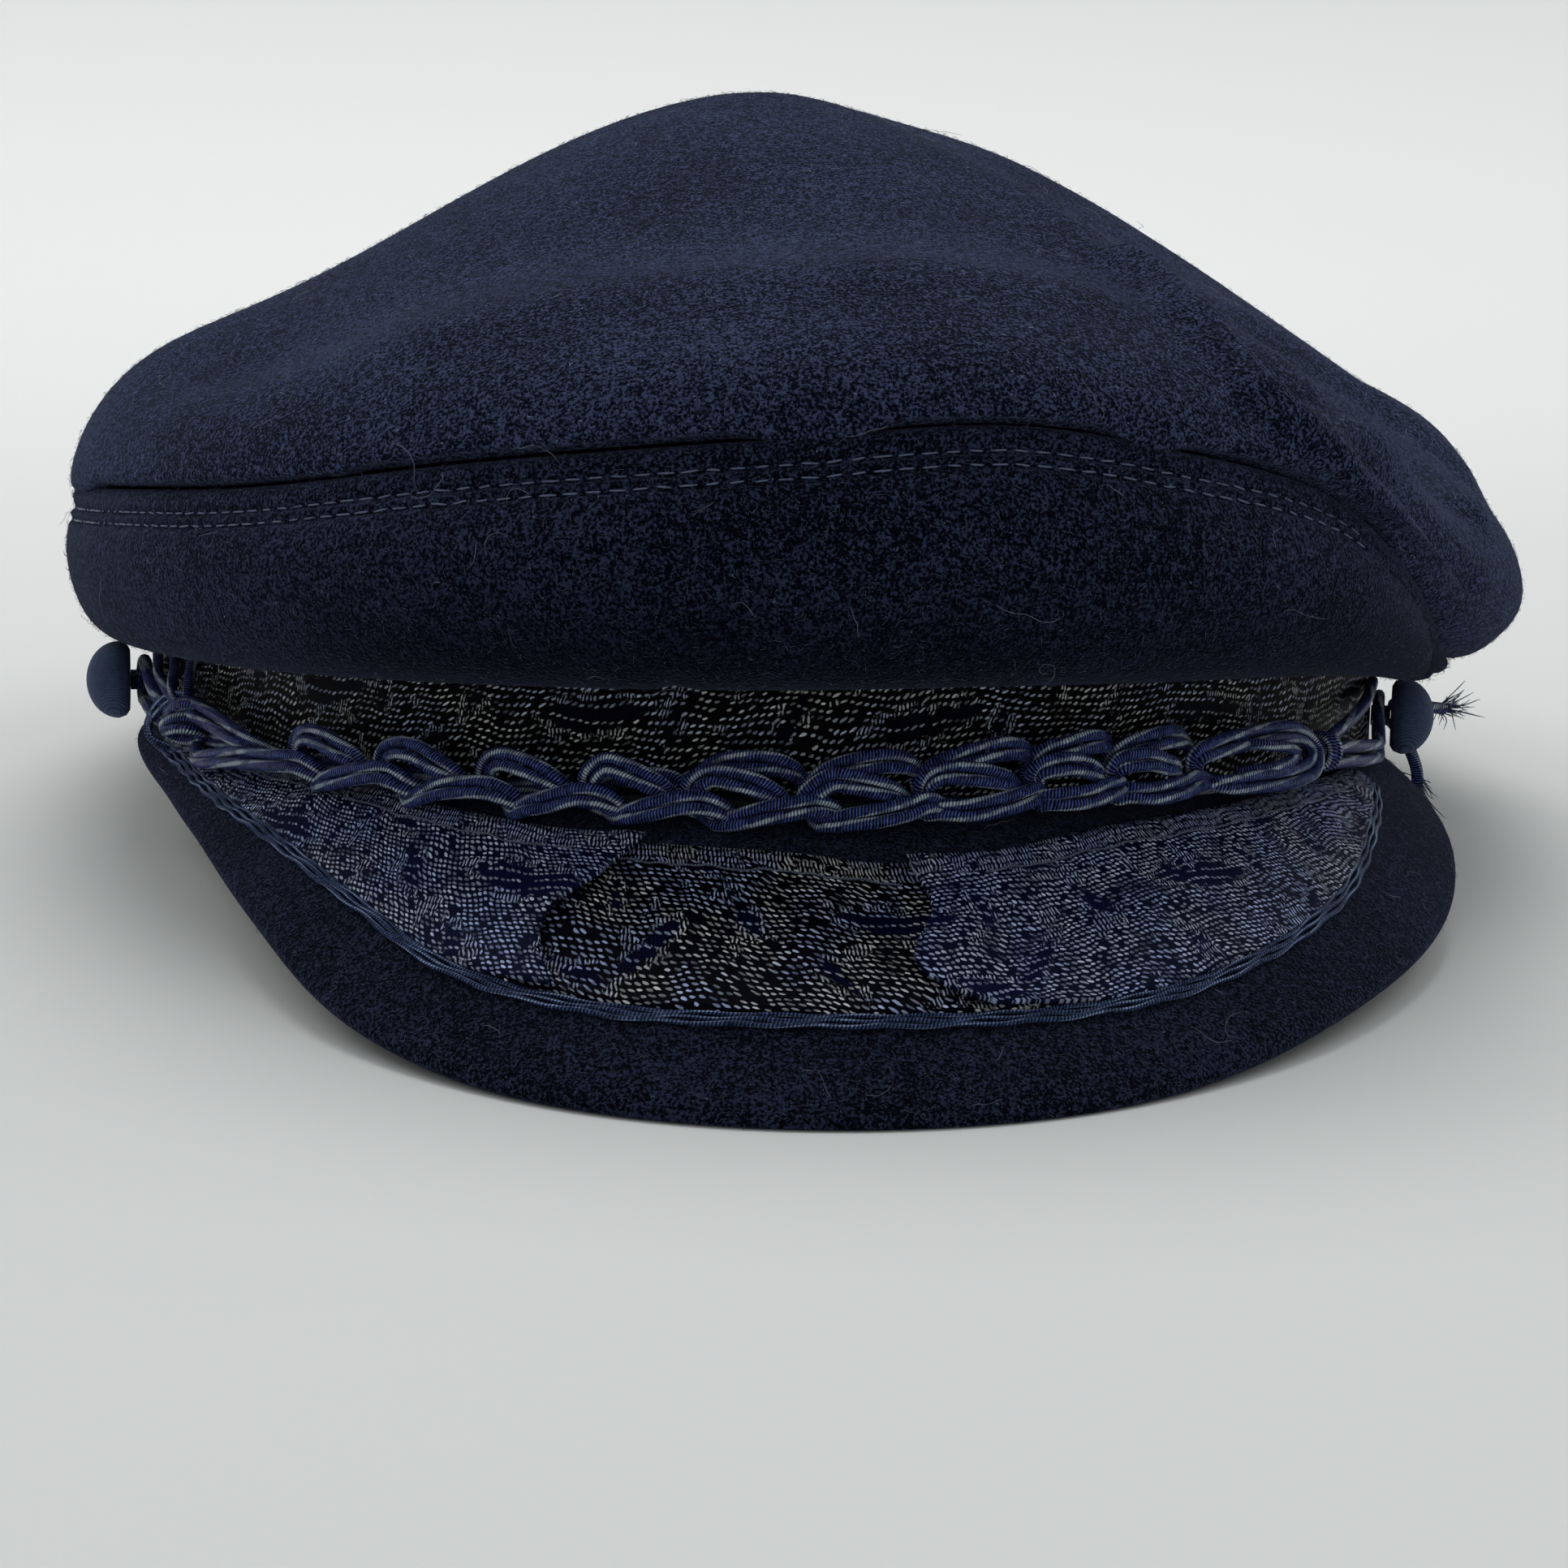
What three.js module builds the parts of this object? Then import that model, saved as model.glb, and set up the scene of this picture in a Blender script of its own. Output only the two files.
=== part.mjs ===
// A Greek fisherman cap in navy wool melton: soft round crown, ribboned headband, short visor,
// a chain braid of satin cord over the root of the visor, and a covered button at each temple.
//
// The cap is described as it is worn: the headband's lower edge lies on z = 0, the front faces -Y,
// and places round it are given by azimuth, in degrees from the front towards +X.
// It is then leaned back to rest by itself, on the visor's front edge and the back of the headband.
import * as THREE from 'three';

// ---------- driving sizes, millimetres and degrees ----------

const CLOTH = 2;                    // wool melton, as sewn
const GAP = 0.3;                    // clearance between pieces that touch
const RIBBON = 0.8;                 // jacquard ribbon

const BAND = { halfWidth: 88, halfLength: 100, height: 28, wall: 3, temple: { left: 5.6, right: 0.6 } };
const BAND_RIBBON = { bottom: 1.3, top: 26.6 };

const PEAK = { x: -5, y: 5, z: 96 };        // highest point of the crown
const SIDE_SEAM = -8;               // azimuth of the seam between the side panels at the front
const SEAM_HALF_GAP = 0.1;          // degrees, each side of that seam and of the one behind

const VISOR = { thickness: 3.2, slope: 34, rootHeight: 0.6, rise: 1.1, end: 82 };
const PIPING = { radius: 0.75, from: -66, to: 58 };

const BRAID = { halfWidth: 4.7, halfThick: 2.3, lean: 26, stand: 5.7, links: 12, from: -67, to: 44 };
const TIE_RADIUS = 0.95;
const TIE_APART = 1.9;              // of the tie's two runs from the braid's middle

const BUTTON = { radius: 5.6, height: 6.2, shankRadius: 1 };
const BUTTONS = [
  { side: 'left', x: -97.6, y: -27, z: 6.6 },
  { side: 'right', x: 92.2, y: -27, z: 5.4 },
];

const LEAN_BACK = 7.3;              // tilt of the resting cap
const PRESSED = 0.8;                // how far the felt flattens where it rests

/** Rows of a table with named columns. */
const table = (columns, ...rows) =>
  rows.map((row) => Object.fromEntries(columns.split(' ').map((name, i) => [name, row[i]])));

// The crown round its edge. rim: where the tip is widest. seam: where the tip meets the side panel.
// side: where the side panel is widest. hem: its lowest place, before it turns up to the headband.
const CROWN = table(
  'azimuth rimR rimZ seamR seamZ sideR sideZ hemR hemZ',
  [-160, 115.8, 36.8, 114.8, 35.0, 119.0, 23.0, 108.5, 10.5],
  [-125, 109.8, 36.4, 108.7, 34.5, 112.0, 23.0, 102.0, 11.0],
  [-95, 107.0, 36.6, 105.8, 34.4, 108.4, 23.5, 98.6, 11.5],
  [-75, 107.2, 36.8, 105.8, 34.6, 107.8, 24.5, 98.2, 12.0],
  [-55, 109.3, 37.3, 107.9, 35.3, 111.2, 25.5, 101.0, 12.4],
  [-38, 112.0, 38.5, 110.7, 36.6, 115.0, 26.5, 104.2, 12.6],
  [-20, 114.6, 42.4, 113.5, 40.7, 118.2, 28.5, 107.5, 13.2],
  [0, 115.7, 46.2, 114.9, 44.6, 119.3, 30.0, 109.0, 14.0],
  [12, 115.4, 48.2, 114.4, 46.6, 118.8, 31.0, 108.2, 14.7],
  [24, 114.0, 45.5, 112.9, 43.7, 117.4, 29.5, 106.8, 15.0],
  [36, 113.0, 41.2, 111.2, 39.2, 116.0, 27.5, 104.8, 15.2],
  [48, 110.8, 32.6, 107.6, 28.6, 111.2, 20.8, 102.0, 14.4],
  [60, 110.6, 26.4, 103.4, 17.8, 103.6, 14.4, 99.0, 12.2],
  [76, 112.4, 23.6, 100.8, 14.8, 100.2, 12.8, 97.0, 11.6],
  [92, 112.8, 24.2, 100.8, 14.8, 100.2, 12.8, 97.0, 11.6],
  [110, 112.8, 27.2, 104.8, 18.8, 105.2, 15.2, 99.6, 11.4],
  [130, 113.4, 33.0, 110.9, 29.6, 113.6, 21.0, 104.6, 11.2],
  [152, 115.4, 36.8, 114.3, 35.0, 118.4, 23.5, 108.0, 10.8],
  [176, 118.0, 37.4, 117.0, 35.6, 121.0, 23.5, 110.5, 10.5],
);

// Fall of the tip from the peak (out = 0, height = 1) to the rim (out = 1, height = 0).
const TIP_FALL = table(
  'out height',
  [0, 1],
  [0.06, 0.993],
  [0.18, 0.94],
  [0.32, 0.83],
  [0.45, 0.7],
  [0.58, 0.56],
  [0.7, 0.435],
  [0.8, 0.34],
  [0.88, 0.262],
  [0.94, 0.19],
  [0.98, 0.105],
  [1, 0],
);

// Folds and dents of the tip, seen from above: a path, a height across it and a half width.
const FOLDS = [
  { name: 'front ridge', height: 2.4, width: 8, path: [[-50, -86], [-15, -92], [10, -91], [36, -84]] },
  { name: 'hollow over the front ridge', height: -1.6, width: 11, path: [[-40, -66], [0, -72], [30, -68]] },
  { name: 'left shoulder', height: 2.4, width: 17, path: [[-92, -32], [-96, 6]] },
  { name: 'left dent', height: -3, width: 9, path: [[-84, -50], [-72, -64]] },
  { name: 'right ridge', height: 4.6, width: 8, path: [[34, -40], [46, -62], [56, -80], [64, -88]] },
  { name: 'valley behind the right ridge', height: -6, width: 11, path: [[60, -40], [74, -50], [90, -56]] },
  { name: 'second right ridge', height: 4.2, width: 9, path: [[60, -22], [80, -14], [100, -6]] },
  { name: 'long right valley', height: -3, width: 11, path: [[60, -2], [80, 6], [100, 14]] },
  { name: 'back lobe', height: 10, width: 22, path: [[42, 27], [64, 36], [90, 38]] },
  { name: 'right shoulder', height: 5, width: 14, path: [[68, 18], [84, 21], [98, 18]] },
  { name: 'back sag', height: -3.5, width: 24, path: [[-60, 62], [-10, 84], [30, 84]] },
];

// Reach of the visor, and of its ribbon, beyond the headband, measured level.
const VISOR_REACH = table(
  'azimuth edge',
  [-82, 2.6],
  [-76, 3.6],
  [-68, 6],
  [-55, 10.6],
  [-45, 14.9],
  [-34, 23.3],
  [-24, 33.4],
  [-12, 41.2],
  [0, 43.6],
  [12, 41.9],
  [24, 36.5],
  [34, 31.1],
  [45, 25.3],
  [55, 19.8],
  [66, 13.8],
  [75, 8.2],
  [82, 3.5],
);
const RIBBON_REACH = table(
  'azimuth inner outer',
  [-66, 1, 2.8],
  [-49, 1.8, 7.8],
  [-36, 2.8, 13.2],
  [-26, 5.2, 20.3],
  [-19, 7, 26.6],
  [-10, 9, 31.1],
  [0, 10.1, 31.9],
  [5, 11.4, 31.8],
  [13, 9.4, 30.7],
  [20, 6.6, 28.4],
  [30, 4.8, 23.2],
  [38, 3.4, 17.9],
  [46, 2.4, 11.8],
  [54, 1.8, 6.8],
  [58, 1.6, 4.4],
);

// Height of the braid's middle, which dips to the left and the front.
const BRAID_HEIGHT = table(
  'azimuth z',
  [-67, 3.6],
  [-50, 3.1],
  [-30, 2.6],
  [-12, 2.1],
  [0, 1.9],
  [10, 3.1],
  [20, 4.3],
  [30, 4.6],
  [44, 4.6],
);

// ---------- colours and finishes ----------

const cloth = (color, roughness) => new THREE.MeshStandardMaterial({ color, roughness, metalness: 0 });
const WOOL = cloth(0x1a2032, 0.95);
const JACQUARD = cloth(0x2a2e40, 0.6);
const SATIN = cloth(0x2b3560, 0.45);
const TWILL = cloth(0x202a40, 0.8);

// ---------- numbers ----------

const radians = THREE.MathUtils.degToRad;

/** A smooth curve through one column of a table, closed round the full turn when it wraps. */
function column(rows, key, name, wraps = false) {
  const count = rows.length;
  const row = (i) => {
    const turn = Math.floor(i / count);
    const entry = rows[wraps ? i - turn * count : THREE.MathUtils.clamp(i, 0, count - 1)];
    return { at: entry[key] + (wraps ? 360 * turn : 0), value: entry[name] };
  };
  const slope = (i) => {
    const a = row(i - 1);
    const b = row(i + 1);
    return b.at === a.at ? 0 : (b.value - a.value) / (b.at - a.at);
  };
  return (at) => {
    const first = rows[0][key];
    const x = wraps ? first + THREE.MathUtils.euclideanModulo(at - first, 360) : at;
    let i = 0;
    while (i < count - (wraps ? 1 : 2) && row(i + 1).at <= x) i += 1;
    const a = row(i);
    const b = row(i + 1);
    const span = b.at - a.at;
    const t = THREE.MathUtils.clamp((x - a.at) / span, 0, 1);
    const bend = (2 * t ** 3 - 3 * t ** 2 + 1) * a.value + (-2 * t ** 3 + 3 * t ** 2) * b.value;
    return bend + ((t ** 3 - 2 * t ** 2 + t) * slope(i) + (t ** 3 - t ** 2) * slope(i + 1)) * span;
  };
}

/** Numbers from a to b in count equal steps, both ends included. */
const steps = (a, b, count) => Array.from({ length: count + 1 }, (_, i) => a + ((b - a) * i) / count);

const at = (azimuth, r, z) =>
  new THREE.Vector3(r * Math.sin(radians(azimuth)), -r * Math.cos(radians(azimuth)), z);

/** The band is an oval that is fuller at the temples, most at the left, because no head shapes it. */
const bandRadius = (azimuth) => {
  const turned = ((azimuth + 540) % 360) - 180;
  const bulge = (angle) => THREE.MathUtils.smoothstep(angle, 54, 78) * (1 - THREE.MathUtils.smoothstep(angle, 105, 150));
  const full = BAND.temple.left * bulge(-turned) + BAND.temple.right * bulge(turned);
  const oval = 1 / Math.hypot(Math.sin(radians(azimuth)) / BAND.halfWidth, Math.cos(radians(azimuth)) / BAND.halfLength);
  return oval + full;
};

// ---------- solids ----------

/**
 * One closed solid from rows of points, each row a closed ring. With `loop` the last row joins the
 * first, and otherwise the first and the last are each closed with a fan.
 */
function solid(name, rows, material, loop = false) {
  const width = rows[0].length;
  const points = rows.flat();
  const faces = [];
  const quad = (a, b, c, d) => faces.push([a, b, c], [a, c, d]);
  const lastRow = rows.length - (loop ? 0 : 1);
  const index = (i, j) => (i % rows.length) * width + (j % width);
  for (let i = 0; i < lastRow; i += 1) {
    for (let j = 0; j < width; j += 1) {
      quad(index(i, j), index(i, j + 1), index(i + 1, j + 1), index(i + 1, j));
    }
  }
  if (!loop) {
    const columns = Array.from({ length: width }, (_, j) => j);
    closeEnd(points, faces, columns.map((j) => index(0, j)), true);
    closeEnd(points, faces, columns.map((j) => index(rows.length - 1, j)), false);
  }
  return meshOf(name, points, faces, material);
}

/** Close a ring of points with a fan from its middle. */
function closeEnd(points, faces, ring, flip) {
  const middle = ring.reduce((sum, i) => sum.add(points[i]), new THREE.Vector3()).divideScalar(ring.length);
  const hub = points.push(middle) - 1;
  ring.forEach((a, i) => {
    const b = ring[(i + 1) % ring.length];
    faces.push(flip ? [hub, b, a] : [hub, a, b]);
  });
}

/** A named mesh of the worn points, with its faces turned to point outwards. */
function meshOf(name, points, faces, material) {
  const volume = faces.reduce((sum, [a, b, c]) =>
    sum + points[a].dot(new THREE.Vector3().crossVectors(points[b], points[c])), 0);
  const geometry = new THREE.BufferGeometry();
  geometry.setAttribute('position', new THREE.Float32BufferAttribute(points.flatMap((p) => p.toArray()), 3));
  geometry.setIndex(faces.flatMap((face) => (volume < 0 ? [...face].reverse() : face)));
  geometry.rotateX(-radians(LEAN_BACK));
  const mesh = new THREE.Mesh(geometry, material);
  mesh.name = name;
  return mesh;
}

/** A round cord along a smooth curve through points. */
function cord(name, path, radius, material, count, sides = 8) {
  const curve = new THREE.CatmullRomCurve3(path, false, 'centripetal');
  const frames = curve.computeFrenetFrames(count, false);
  const rows = steps(0, 1, count).map((t, i) => {
    const middle = curve.getPointAt(t);
    return steps(0, 360, sides).slice(0, -1).map((turn) => middle.clone()
      .addScaledVector(frames.normals[i], radius * Math.cos(radians(turn)))
      .addScaledVector(frames.binormals[i], radius * Math.sin(radians(turn))));
  });
  return solid(name, rows, material);
}

// ---------- crown ----------

const crownAt = Object.fromEntries(
  Object.keys(CROWN[0]).filter((name) => name !== 'azimuth')
    .map((name) => [name, column(CROWN, 'azimuth', name, true)]),
);
const fall = column(TIP_FALL, 'out', 'height');

/** Height that the folds add at a place on the tip. */
function foldHeight(x, y) {
  const place = new THREE.Vector3(x, y, 0);
  const near = new THREE.Vector3();
  return FOLDS.reduce((sum, { path, height, width }) => {
    const distances = path.slice(1).map(([bx, by], i) => {
      const line = new THREE.Line3(new THREE.Vector3(...path[i], 0), new THREE.Vector3(bx, by, 0));
      return line.closestPointToPoint(place, true, near).distanceTo(place);
    });
    return sum + height * Math.exp(-((Math.min(...distances) / width) ** 2));
  }, 0);
}

/** The tip's outer line at one azimuth: from near the peak out to the rim, then in to the seam. */
function tipLine(azimuth) {
  const { rimR, rimZ, seamR, seamZ } = crownAt;
  const rim = at(azimuth, rimR(azimuth), rimZ(azimuth));
  const line = TIP_FALL.slice(1).map(({ out }) => {
    const x = PEAK.x + (rim.x - PEAK.x) * out;
    const y = PEAK.y + (rim.y - PEAK.y) * out;
    const fade = 1 - THREE.MathUtils.smoothstep(out, 0.9, 1);
    return new THREE.Vector3(x, y, rim.z + (PEAK.z - rim.z) * fall(out) + foldHeight(x, y) * fade);
  });
  const turnUnder = [35, 65].map((turn) => {
    const r = seamR(azimuth) + (rimR(azimuth) - seamR(azimuth)) * Math.cos(radians(turn));
    const z = rimZ(azimuth) - (rimZ(azimuth) - seamZ(azimuth) - GAP) * Math.sin(radians(turn));
    return at(azimuth, r, z);
  });
  return [...line, ...turnUnder, at(azimuth, seamR(azimuth) - 0.4, seamZ(azimuth) + GAP)];
}

/** The tip's inner line: its outer line moved in by the cloth's thickness, short of the turned edge. */
function tipLining(azimuth) {
  const outer = tipLine(azimuth);
  const spoke = at(azimuth, 1, 0);
  const inner = outer.slice(0, TIP_FALL.length - 2).map((p, i) => {
    const run = outer[i + 1].clone().sub(i ? outer[i - 1] : new THREE.Vector3(PEAK.x, PEAK.y, PEAK.z));
    const rise = run.z / Math.hypot(run.x, run.y);
    const lean = CLOTH / Math.hypot(1, rise);
    return p.clone().addScaledVector(spoke, lean * rise).add(new THREE.Vector3(0, 0, -lean));
  });
  const edge = outer[outer.length - 1];
  return [...inner, edge.clone().addScaledVector(spoke, -CLOTH).add(new THREE.Vector3(0, 0, CLOTH / 2))];
}

function crownTip() {
  const azimuths = steps(-180, 180, 60).slice(0, -1);
  const outer = azimuths.map(tipLine);
  const inner = azimuths.map(tipLining);
  const across = (lines) => lines[0].map((_, i) => lines.map((line) => line[i]));
  return solid('crown_tip', [...across(outer), ...across(inner).reverse()], WOOL);
}

/** The side panel's outer line at one azimuth: down from the seam, round the hem, up to the headband. */
function sideLine(azimuth) {
  const { seamR, seamZ, sideR, sideZ, hemR, hemZ } = crownAt;
  const band = bandRadius(azimuth) + RIBBON + 2 * GAP;
  const [hr, hz] = [hemR(azimuth), hemZ(azimuth)];
  const [sr, sz] = [sideR(azimuth), sideZ(azimuth)];
  const point = ([r, z]) => new THREE.Vector3(r, z, 0);
  const shown = [
    [seamR(azimuth) - 0.4, seamZ(azimuth) - 0.1],
    [sr - (sr - seamR(azimuth)) * 0.25, (sz + seamZ(azimuth)) / 2],
    [sr, sz],
    [hr + (sr - hr) * 0.62, hz + (sz - hz) * 0.2],
    [hr, hz],
    [band + (hr - band) * 0.35, hz + 2.2],
    [band + 0.5, hz + 7],
  ].map(point);
  const turnedIn = [
    [band, BAND.height - 1.5],
    [band - 0.2, BAND.height + 1.6],
    [band - 4.8, BAND.height + 1.8],
  ].map(point);
  return [...new THREE.CatmullRomCurve3(shown, false, 'centripetal').getSpacedPoints(9), ...turnedIn];
}

function sidePanel(name, from, to) {
  const azimuths = steps(from, to, 30);
  const sections = azimuths.map((azimuth) => {
    const line = sideLine(azimuth);
    const inner = line.map((p, i) => {
      const run = line[Math.min(i + 1, line.length - 1)].clone().sub(line[Math.max(i - 1, 0)]).normalize();
      return new THREE.Vector3(p.x + run.y * CLOTH, p.y - run.x * CLOTH, 0);
    });
    return [...line, ...inner.reverse()].map((p) => at(azimuth, p.x, p.y));
  });
  return solid(name, sections, WOOL);
}

// ---------- headband and its ribbon ----------

/** A ring round the headband between two offsets from its face and two heights. */
function ring(name, inner, outer, bottom, top, material) {
  const sections = steps(-180, 180, 72).slice(0, -1).map((azimuth) => {
    const face = bandRadius(azimuth);
    const corners = [[inner, bottom], [outer, bottom], [outer, top], [inner, top]];
    return corners.map(([offset, z]) => at(azimuth, face + offset, z));
  });
  return solid(name, sections, material, true);
}

// ---------- visor and its ribbon ----------

const visorEdge = column(VISOR_REACH, 'azimuth', 'edge');
const ribbonInner = column(RIBBON_REACH, 'azimuth', 'inner');
const ribbonOuter = column(RIBBON_REACH, 'azimuth', 'outer');

/** A point of the visor's upper face, `lift` above it, at a level distance from the headband. */
function visorPoint(azimuth, reach, lift) {
  const edge = visorEdge(azimuth);
  const share = reach / edge;
  const slope = radians(VISOR.slope);
  const arch = VISOR.rise * 4 * share * (1 - share) * (edge / visorEdge(0));
  const droop = 0.9 * share * Math.exp(-(((Math.abs(azimuth) - 19) / 9) ** 2));
  const z = VISOR.rootHeight - (reach - GAP) * Math.tan(slope) + arch - droop + lift * Math.cos(slope);
  return at(azimuth, bandRadius(azimuth) + reach + lift * Math.sin(slope), z);
}

function visor() {
  const shares = [0, 0.2, 0.4, 0.6, 0.8, 0.93];
  const sections = steps(-VISOR.end, VISOR.end, 48).map((azimuth) => {
    const reach = (share) => GAP + (visorEdge(azimuth) - GAP) * share;
    const top = shares.map((share) => visorPoint(azimuth, reach(share), 0));
    const lip = [[1, -0.5], [1.012, -1.4], [1.004, -2.4]];
    const edge = lip.map(([share, lift]) => visorPoint(azimuth, visorEdge(azimuth) * share, lift));
    const under = [0.985, 0.94, 0.8, 0.6, 0.4, 0.2].map((share) =>
      visorPoint(azimuth, reach(share), -VISOR.thickness));
    const root = at(azimuth, bandRadius(azimuth) + GAP, VISOR.rootHeight - VISOR.thickness);
    return [...top, ...edge, ...under, root];
  });
  return solid('visor', sections, WOOL);
}

function visorRibbon() {
  const sections = steps(PIPING.from, PIPING.to, 40).map((azimuth) => {
    const reaches = steps(ribbonInner(azimuth), ribbonOuter(azimuth), 5);
    const under = reaches.map((reach) => visorPoint(azimuth, reach, GAP));
    const over = reaches.map((reach) => visorPoint(azimuth, reach, GAP + RIBBON));
    return [...under, ...over.reverse()];
  });
  return solid('visor_ribbon', sections, JACQUARD);
}

function visorPiping() {
  const path = steps(PIPING.from, PIPING.to, 22).map((azimuth) =>
    visorPoint(azimuth, ribbonOuter(azimuth) + 0.5 * GAP + PIPING.radius, GAP + PIPING.radius));
  return cord('visor_piping', path, PIPING.radius, SATIN, 48);
}

// ---------- braid, ties and buttons ----------

const braidHeight = column(BRAID_HEIGHT, 'azimuth', 'z');
const braidMiddle = (azimuth) => at(azimuth, bandRadius(azimuth) + BRAID.stand, braidHeight(azimuth));

function braid() {
  const lean = radians(BRAID.lean);
  const rows = steps(BRAID.from, BRAID.to, 60).map((azimuth, i, all) => {
    const share = i / (all.length - 1);
    const lobe = 0.94 + 0.06 * Math.cos(2 * Math.PI * BRAID.links * share);
    const end = Math.sqrt(1 - Math.abs(2 * share - 1) ** 24 * 0.75);
    const middle = braidMiddle(azimuth);
    const out = at(azimuth, 1, 0);
    return steps(0, 360, 10).slice(0, -1).map((turn) => {
      const w = BRAID.halfWidth * lobe * end * Math.cos(radians(turn));
      const t = BRAID.halfThick * lobe * end * Math.sin(radians(turn));
      return middle.clone()
        .addScaledVector(out, t * Math.cos(lean) - w * Math.sin(lean))
        .add(new THREE.Vector3(0, 0, w * Math.cos(lean) + t * Math.sin(lean)));
    });
  });
  return solid('braid', rows, SATIN);
}

/** Outward direction of a button: square to the headband where the button hangs. */
const buttonAxis = ({ x, y }) =>
  new THREE.Vector3(x / BAND.halfWidth ** 2, y / BAND.halfLength ** 2, 0).normalize();

/** A solid of revolution about a button's axis, from a profile of [radius, distance along the axis]. */
function turned(name, button, profile, material, sides) {
  const axis = buttonAxis(button);
  const lathe = new THREE.LatheGeometry(profile.map(([r, along]) => new THREE.Vector2(r, along)), sides);
  const turn = new THREE.Quaternion().setFromUnitVectors(new THREE.Vector3(0, 1, 0), axis);
  lathe.applyQuaternion(turn).translate(button.x, button.y, button.z);
  const place = lathe.getAttribute('position');
  const width = profile.length;
  const rows = Array.from({ length: width }, (_, i) =>
    Array.from({ length: sides }, (_, j) => new THREE.Vector3().fromBufferAttribute(place, j * width + i)));
  return solid(name, rows, material);
}

function coveredButton(button) {
  const back = -BUTTON.height / 2;
  const dome = [20, 42, 62, 78].map((turn) => [
    BUTTON.radius * Math.cos(radians(turn)),
    back + 1.7 + (BUTTON.height - 1.7) * Math.sin(radians(turn)),
  ]);
  const profile = [
    [1.6, back],
    [BUTTON.radius - 0.9, back],
    [BUTTON.radius - 0.2, back + 0.6],
    [BUTTON.radius, back + 1.7],
    ...dome,
    [0.4, -back],
  ];
  return turned(`button_${button.side}`, button, profile, TWILL, 20);
}

const azimuthOf = ({ x, y }) => THREE.MathUtils.radToDeg(Math.atan2(x, -y));

/** Distance from the ribbon to the middle of a button. */
const standOff = (button) =>
  Math.hypot(button.x, button.y) - bandRadius(azimuthOf(button)) - GAP - RIBBON;

function shank(button) {
  const back = -BUTTON.height / 2 - GAP;
  const root = -standOff(button) + 1.2 * GAP;
  const profile = [
    [BUTTON.shankRadius, root],
    [BUTTON.shankRadius * 0.8, (root + back) / 2],
    [BUTTON.shankRadius, back],
  ];
  return turned(`button_shank_${button.side}`, button, profile, SATIN, 10);
}

/** A cord that goes from the end of the braid round a button's shank and back. */
function tie(button, from, count) {
  const to = azimuthOf(button);
  const onward = Math.sign(to);
  const neck = (standOff(button) - BUTTON.height / 2) / 2 + GAP + RIBBON;
  const reach = BUTTON.shankRadius + TIE_RADIUS + 2 * GAP;
  const start = from + onward * 0.4;
  const arm = (side) => [0, 0.3, 0.6, 0.85, 1].map((share) => {
    const azimuth = THREE.MathUtils.lerp(start, to, share);
    const out = THREE.MathUtils.lerp(BRAID.stand, neck, THREE.MathUtils.smoothstep(share, 0, 1));
    const z = THREE.MathUtils.lerp(braidHeight(from) + side * TIE_APART, button.z + side * reach, share);
    return at(azimuth, bandRadius(azimuth) + out, z);
  });
  const beyond = to + onward * THREE.MathUtils.radToDeg(reach / bandRadius(to));
  const path = [...arm(1), at(beyond, bandRadius(beyond) + neck, button.z), ...arm(-1).reverse()];
  return cord(`braid_tie_${button.side}`, path, TIE_RADIUS, SATIN, count);
}

/** The two frayed ends of the braid's cord, which stand out behind the right button. */
function cordEnds({ x, y, z }) {
  const route = (points) => points.map(([out, back, up]) => new THREE.Vector3(x + out, y + back, z + up));
  const upper = route([[0.2, 11.5, 0.6], [3.4, 13.6, 0.4], [7, 15.6, 0], [10.6, 17.2, -0.4]]);
  const lower = route([[0.2, 11.5, -1.9], [2.6, 12.6, -4.6], [4.6, 13.2, -8.6], [5.4, 13.4, -13]]);
  return [
    cord('cord_end_upper', upper, TIE_RADIUS, SATIN, 10),
    cord('cord_end_lower', lower, TIE_RADIUS, SATIN, 10),
  ];
}

// ---------- the cap ----------

/** Set the leaned cap down: centred over the origin, with what would sink pressed flat. */
function settle(cap) {
  const box = new THREE.Box3().setFromObject(cap);
  const middle = box.getCenter(new THREE.Vector3());
  for (const { geometry } of cap.children) {
    geometry.translate(-middle.x, -middle.y, -box.min.z - PRESSED);
    const place = geometry.getAttribute('position');
    for (let i = 0; i < place.count; i += 1) {
      place.setZ(i, Math.max(place.getZ(i), 0));
    }
    geometry.computeVertexNormals();
  }
}

function greekFishermanCap() {
  const [left, right] = BUTTONS;
  const cap = new THREE.Group();
  cap.add(
    crownTip(),
    sidePanel('crown_side_right', SIDE_SEAM + SEAM_HALF_GAP, SIDE_SEAM + 180 - SEAM_HALF_GAP),
    sidePanel('crown_side_left', SIDE_SEAM - 180 + SEAM_HALF_GAP, SIDE_SEAM - SEAM_HALF_GAP),
    ring('headband', -BAND.wall, 0, 0, BAND.height, WOOL),
    ring('band_ribbon', GAP, GAP + RIBBON, BAND_RIBBON.bottom, BAND_RIBBON.top, JACQUARD),
    visor(),
    visorRibbon(),
    visorPiping(),
    braid(),
    ...BUTTONS.flatMap((button) => [coveredButton(button), shank(button)]),
    tie(left, BRAID.from, 40),
    tie(right, BRAID.to, 56),
    ...cordEnds(right),
  );
  settle(cap);
  return cap;
}

export default greekFishermanCap();
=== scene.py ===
# %% [markdown]
# # A Greek fisherman cap
# The cap is navy wool melton, soft and slumped, on a band wrapped in jacquard ribbon. A short visor, a
# chain plait of satin cord and two covered buttons finish it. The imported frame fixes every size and
# place, so the first cell loads it and keeps its box.

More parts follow.
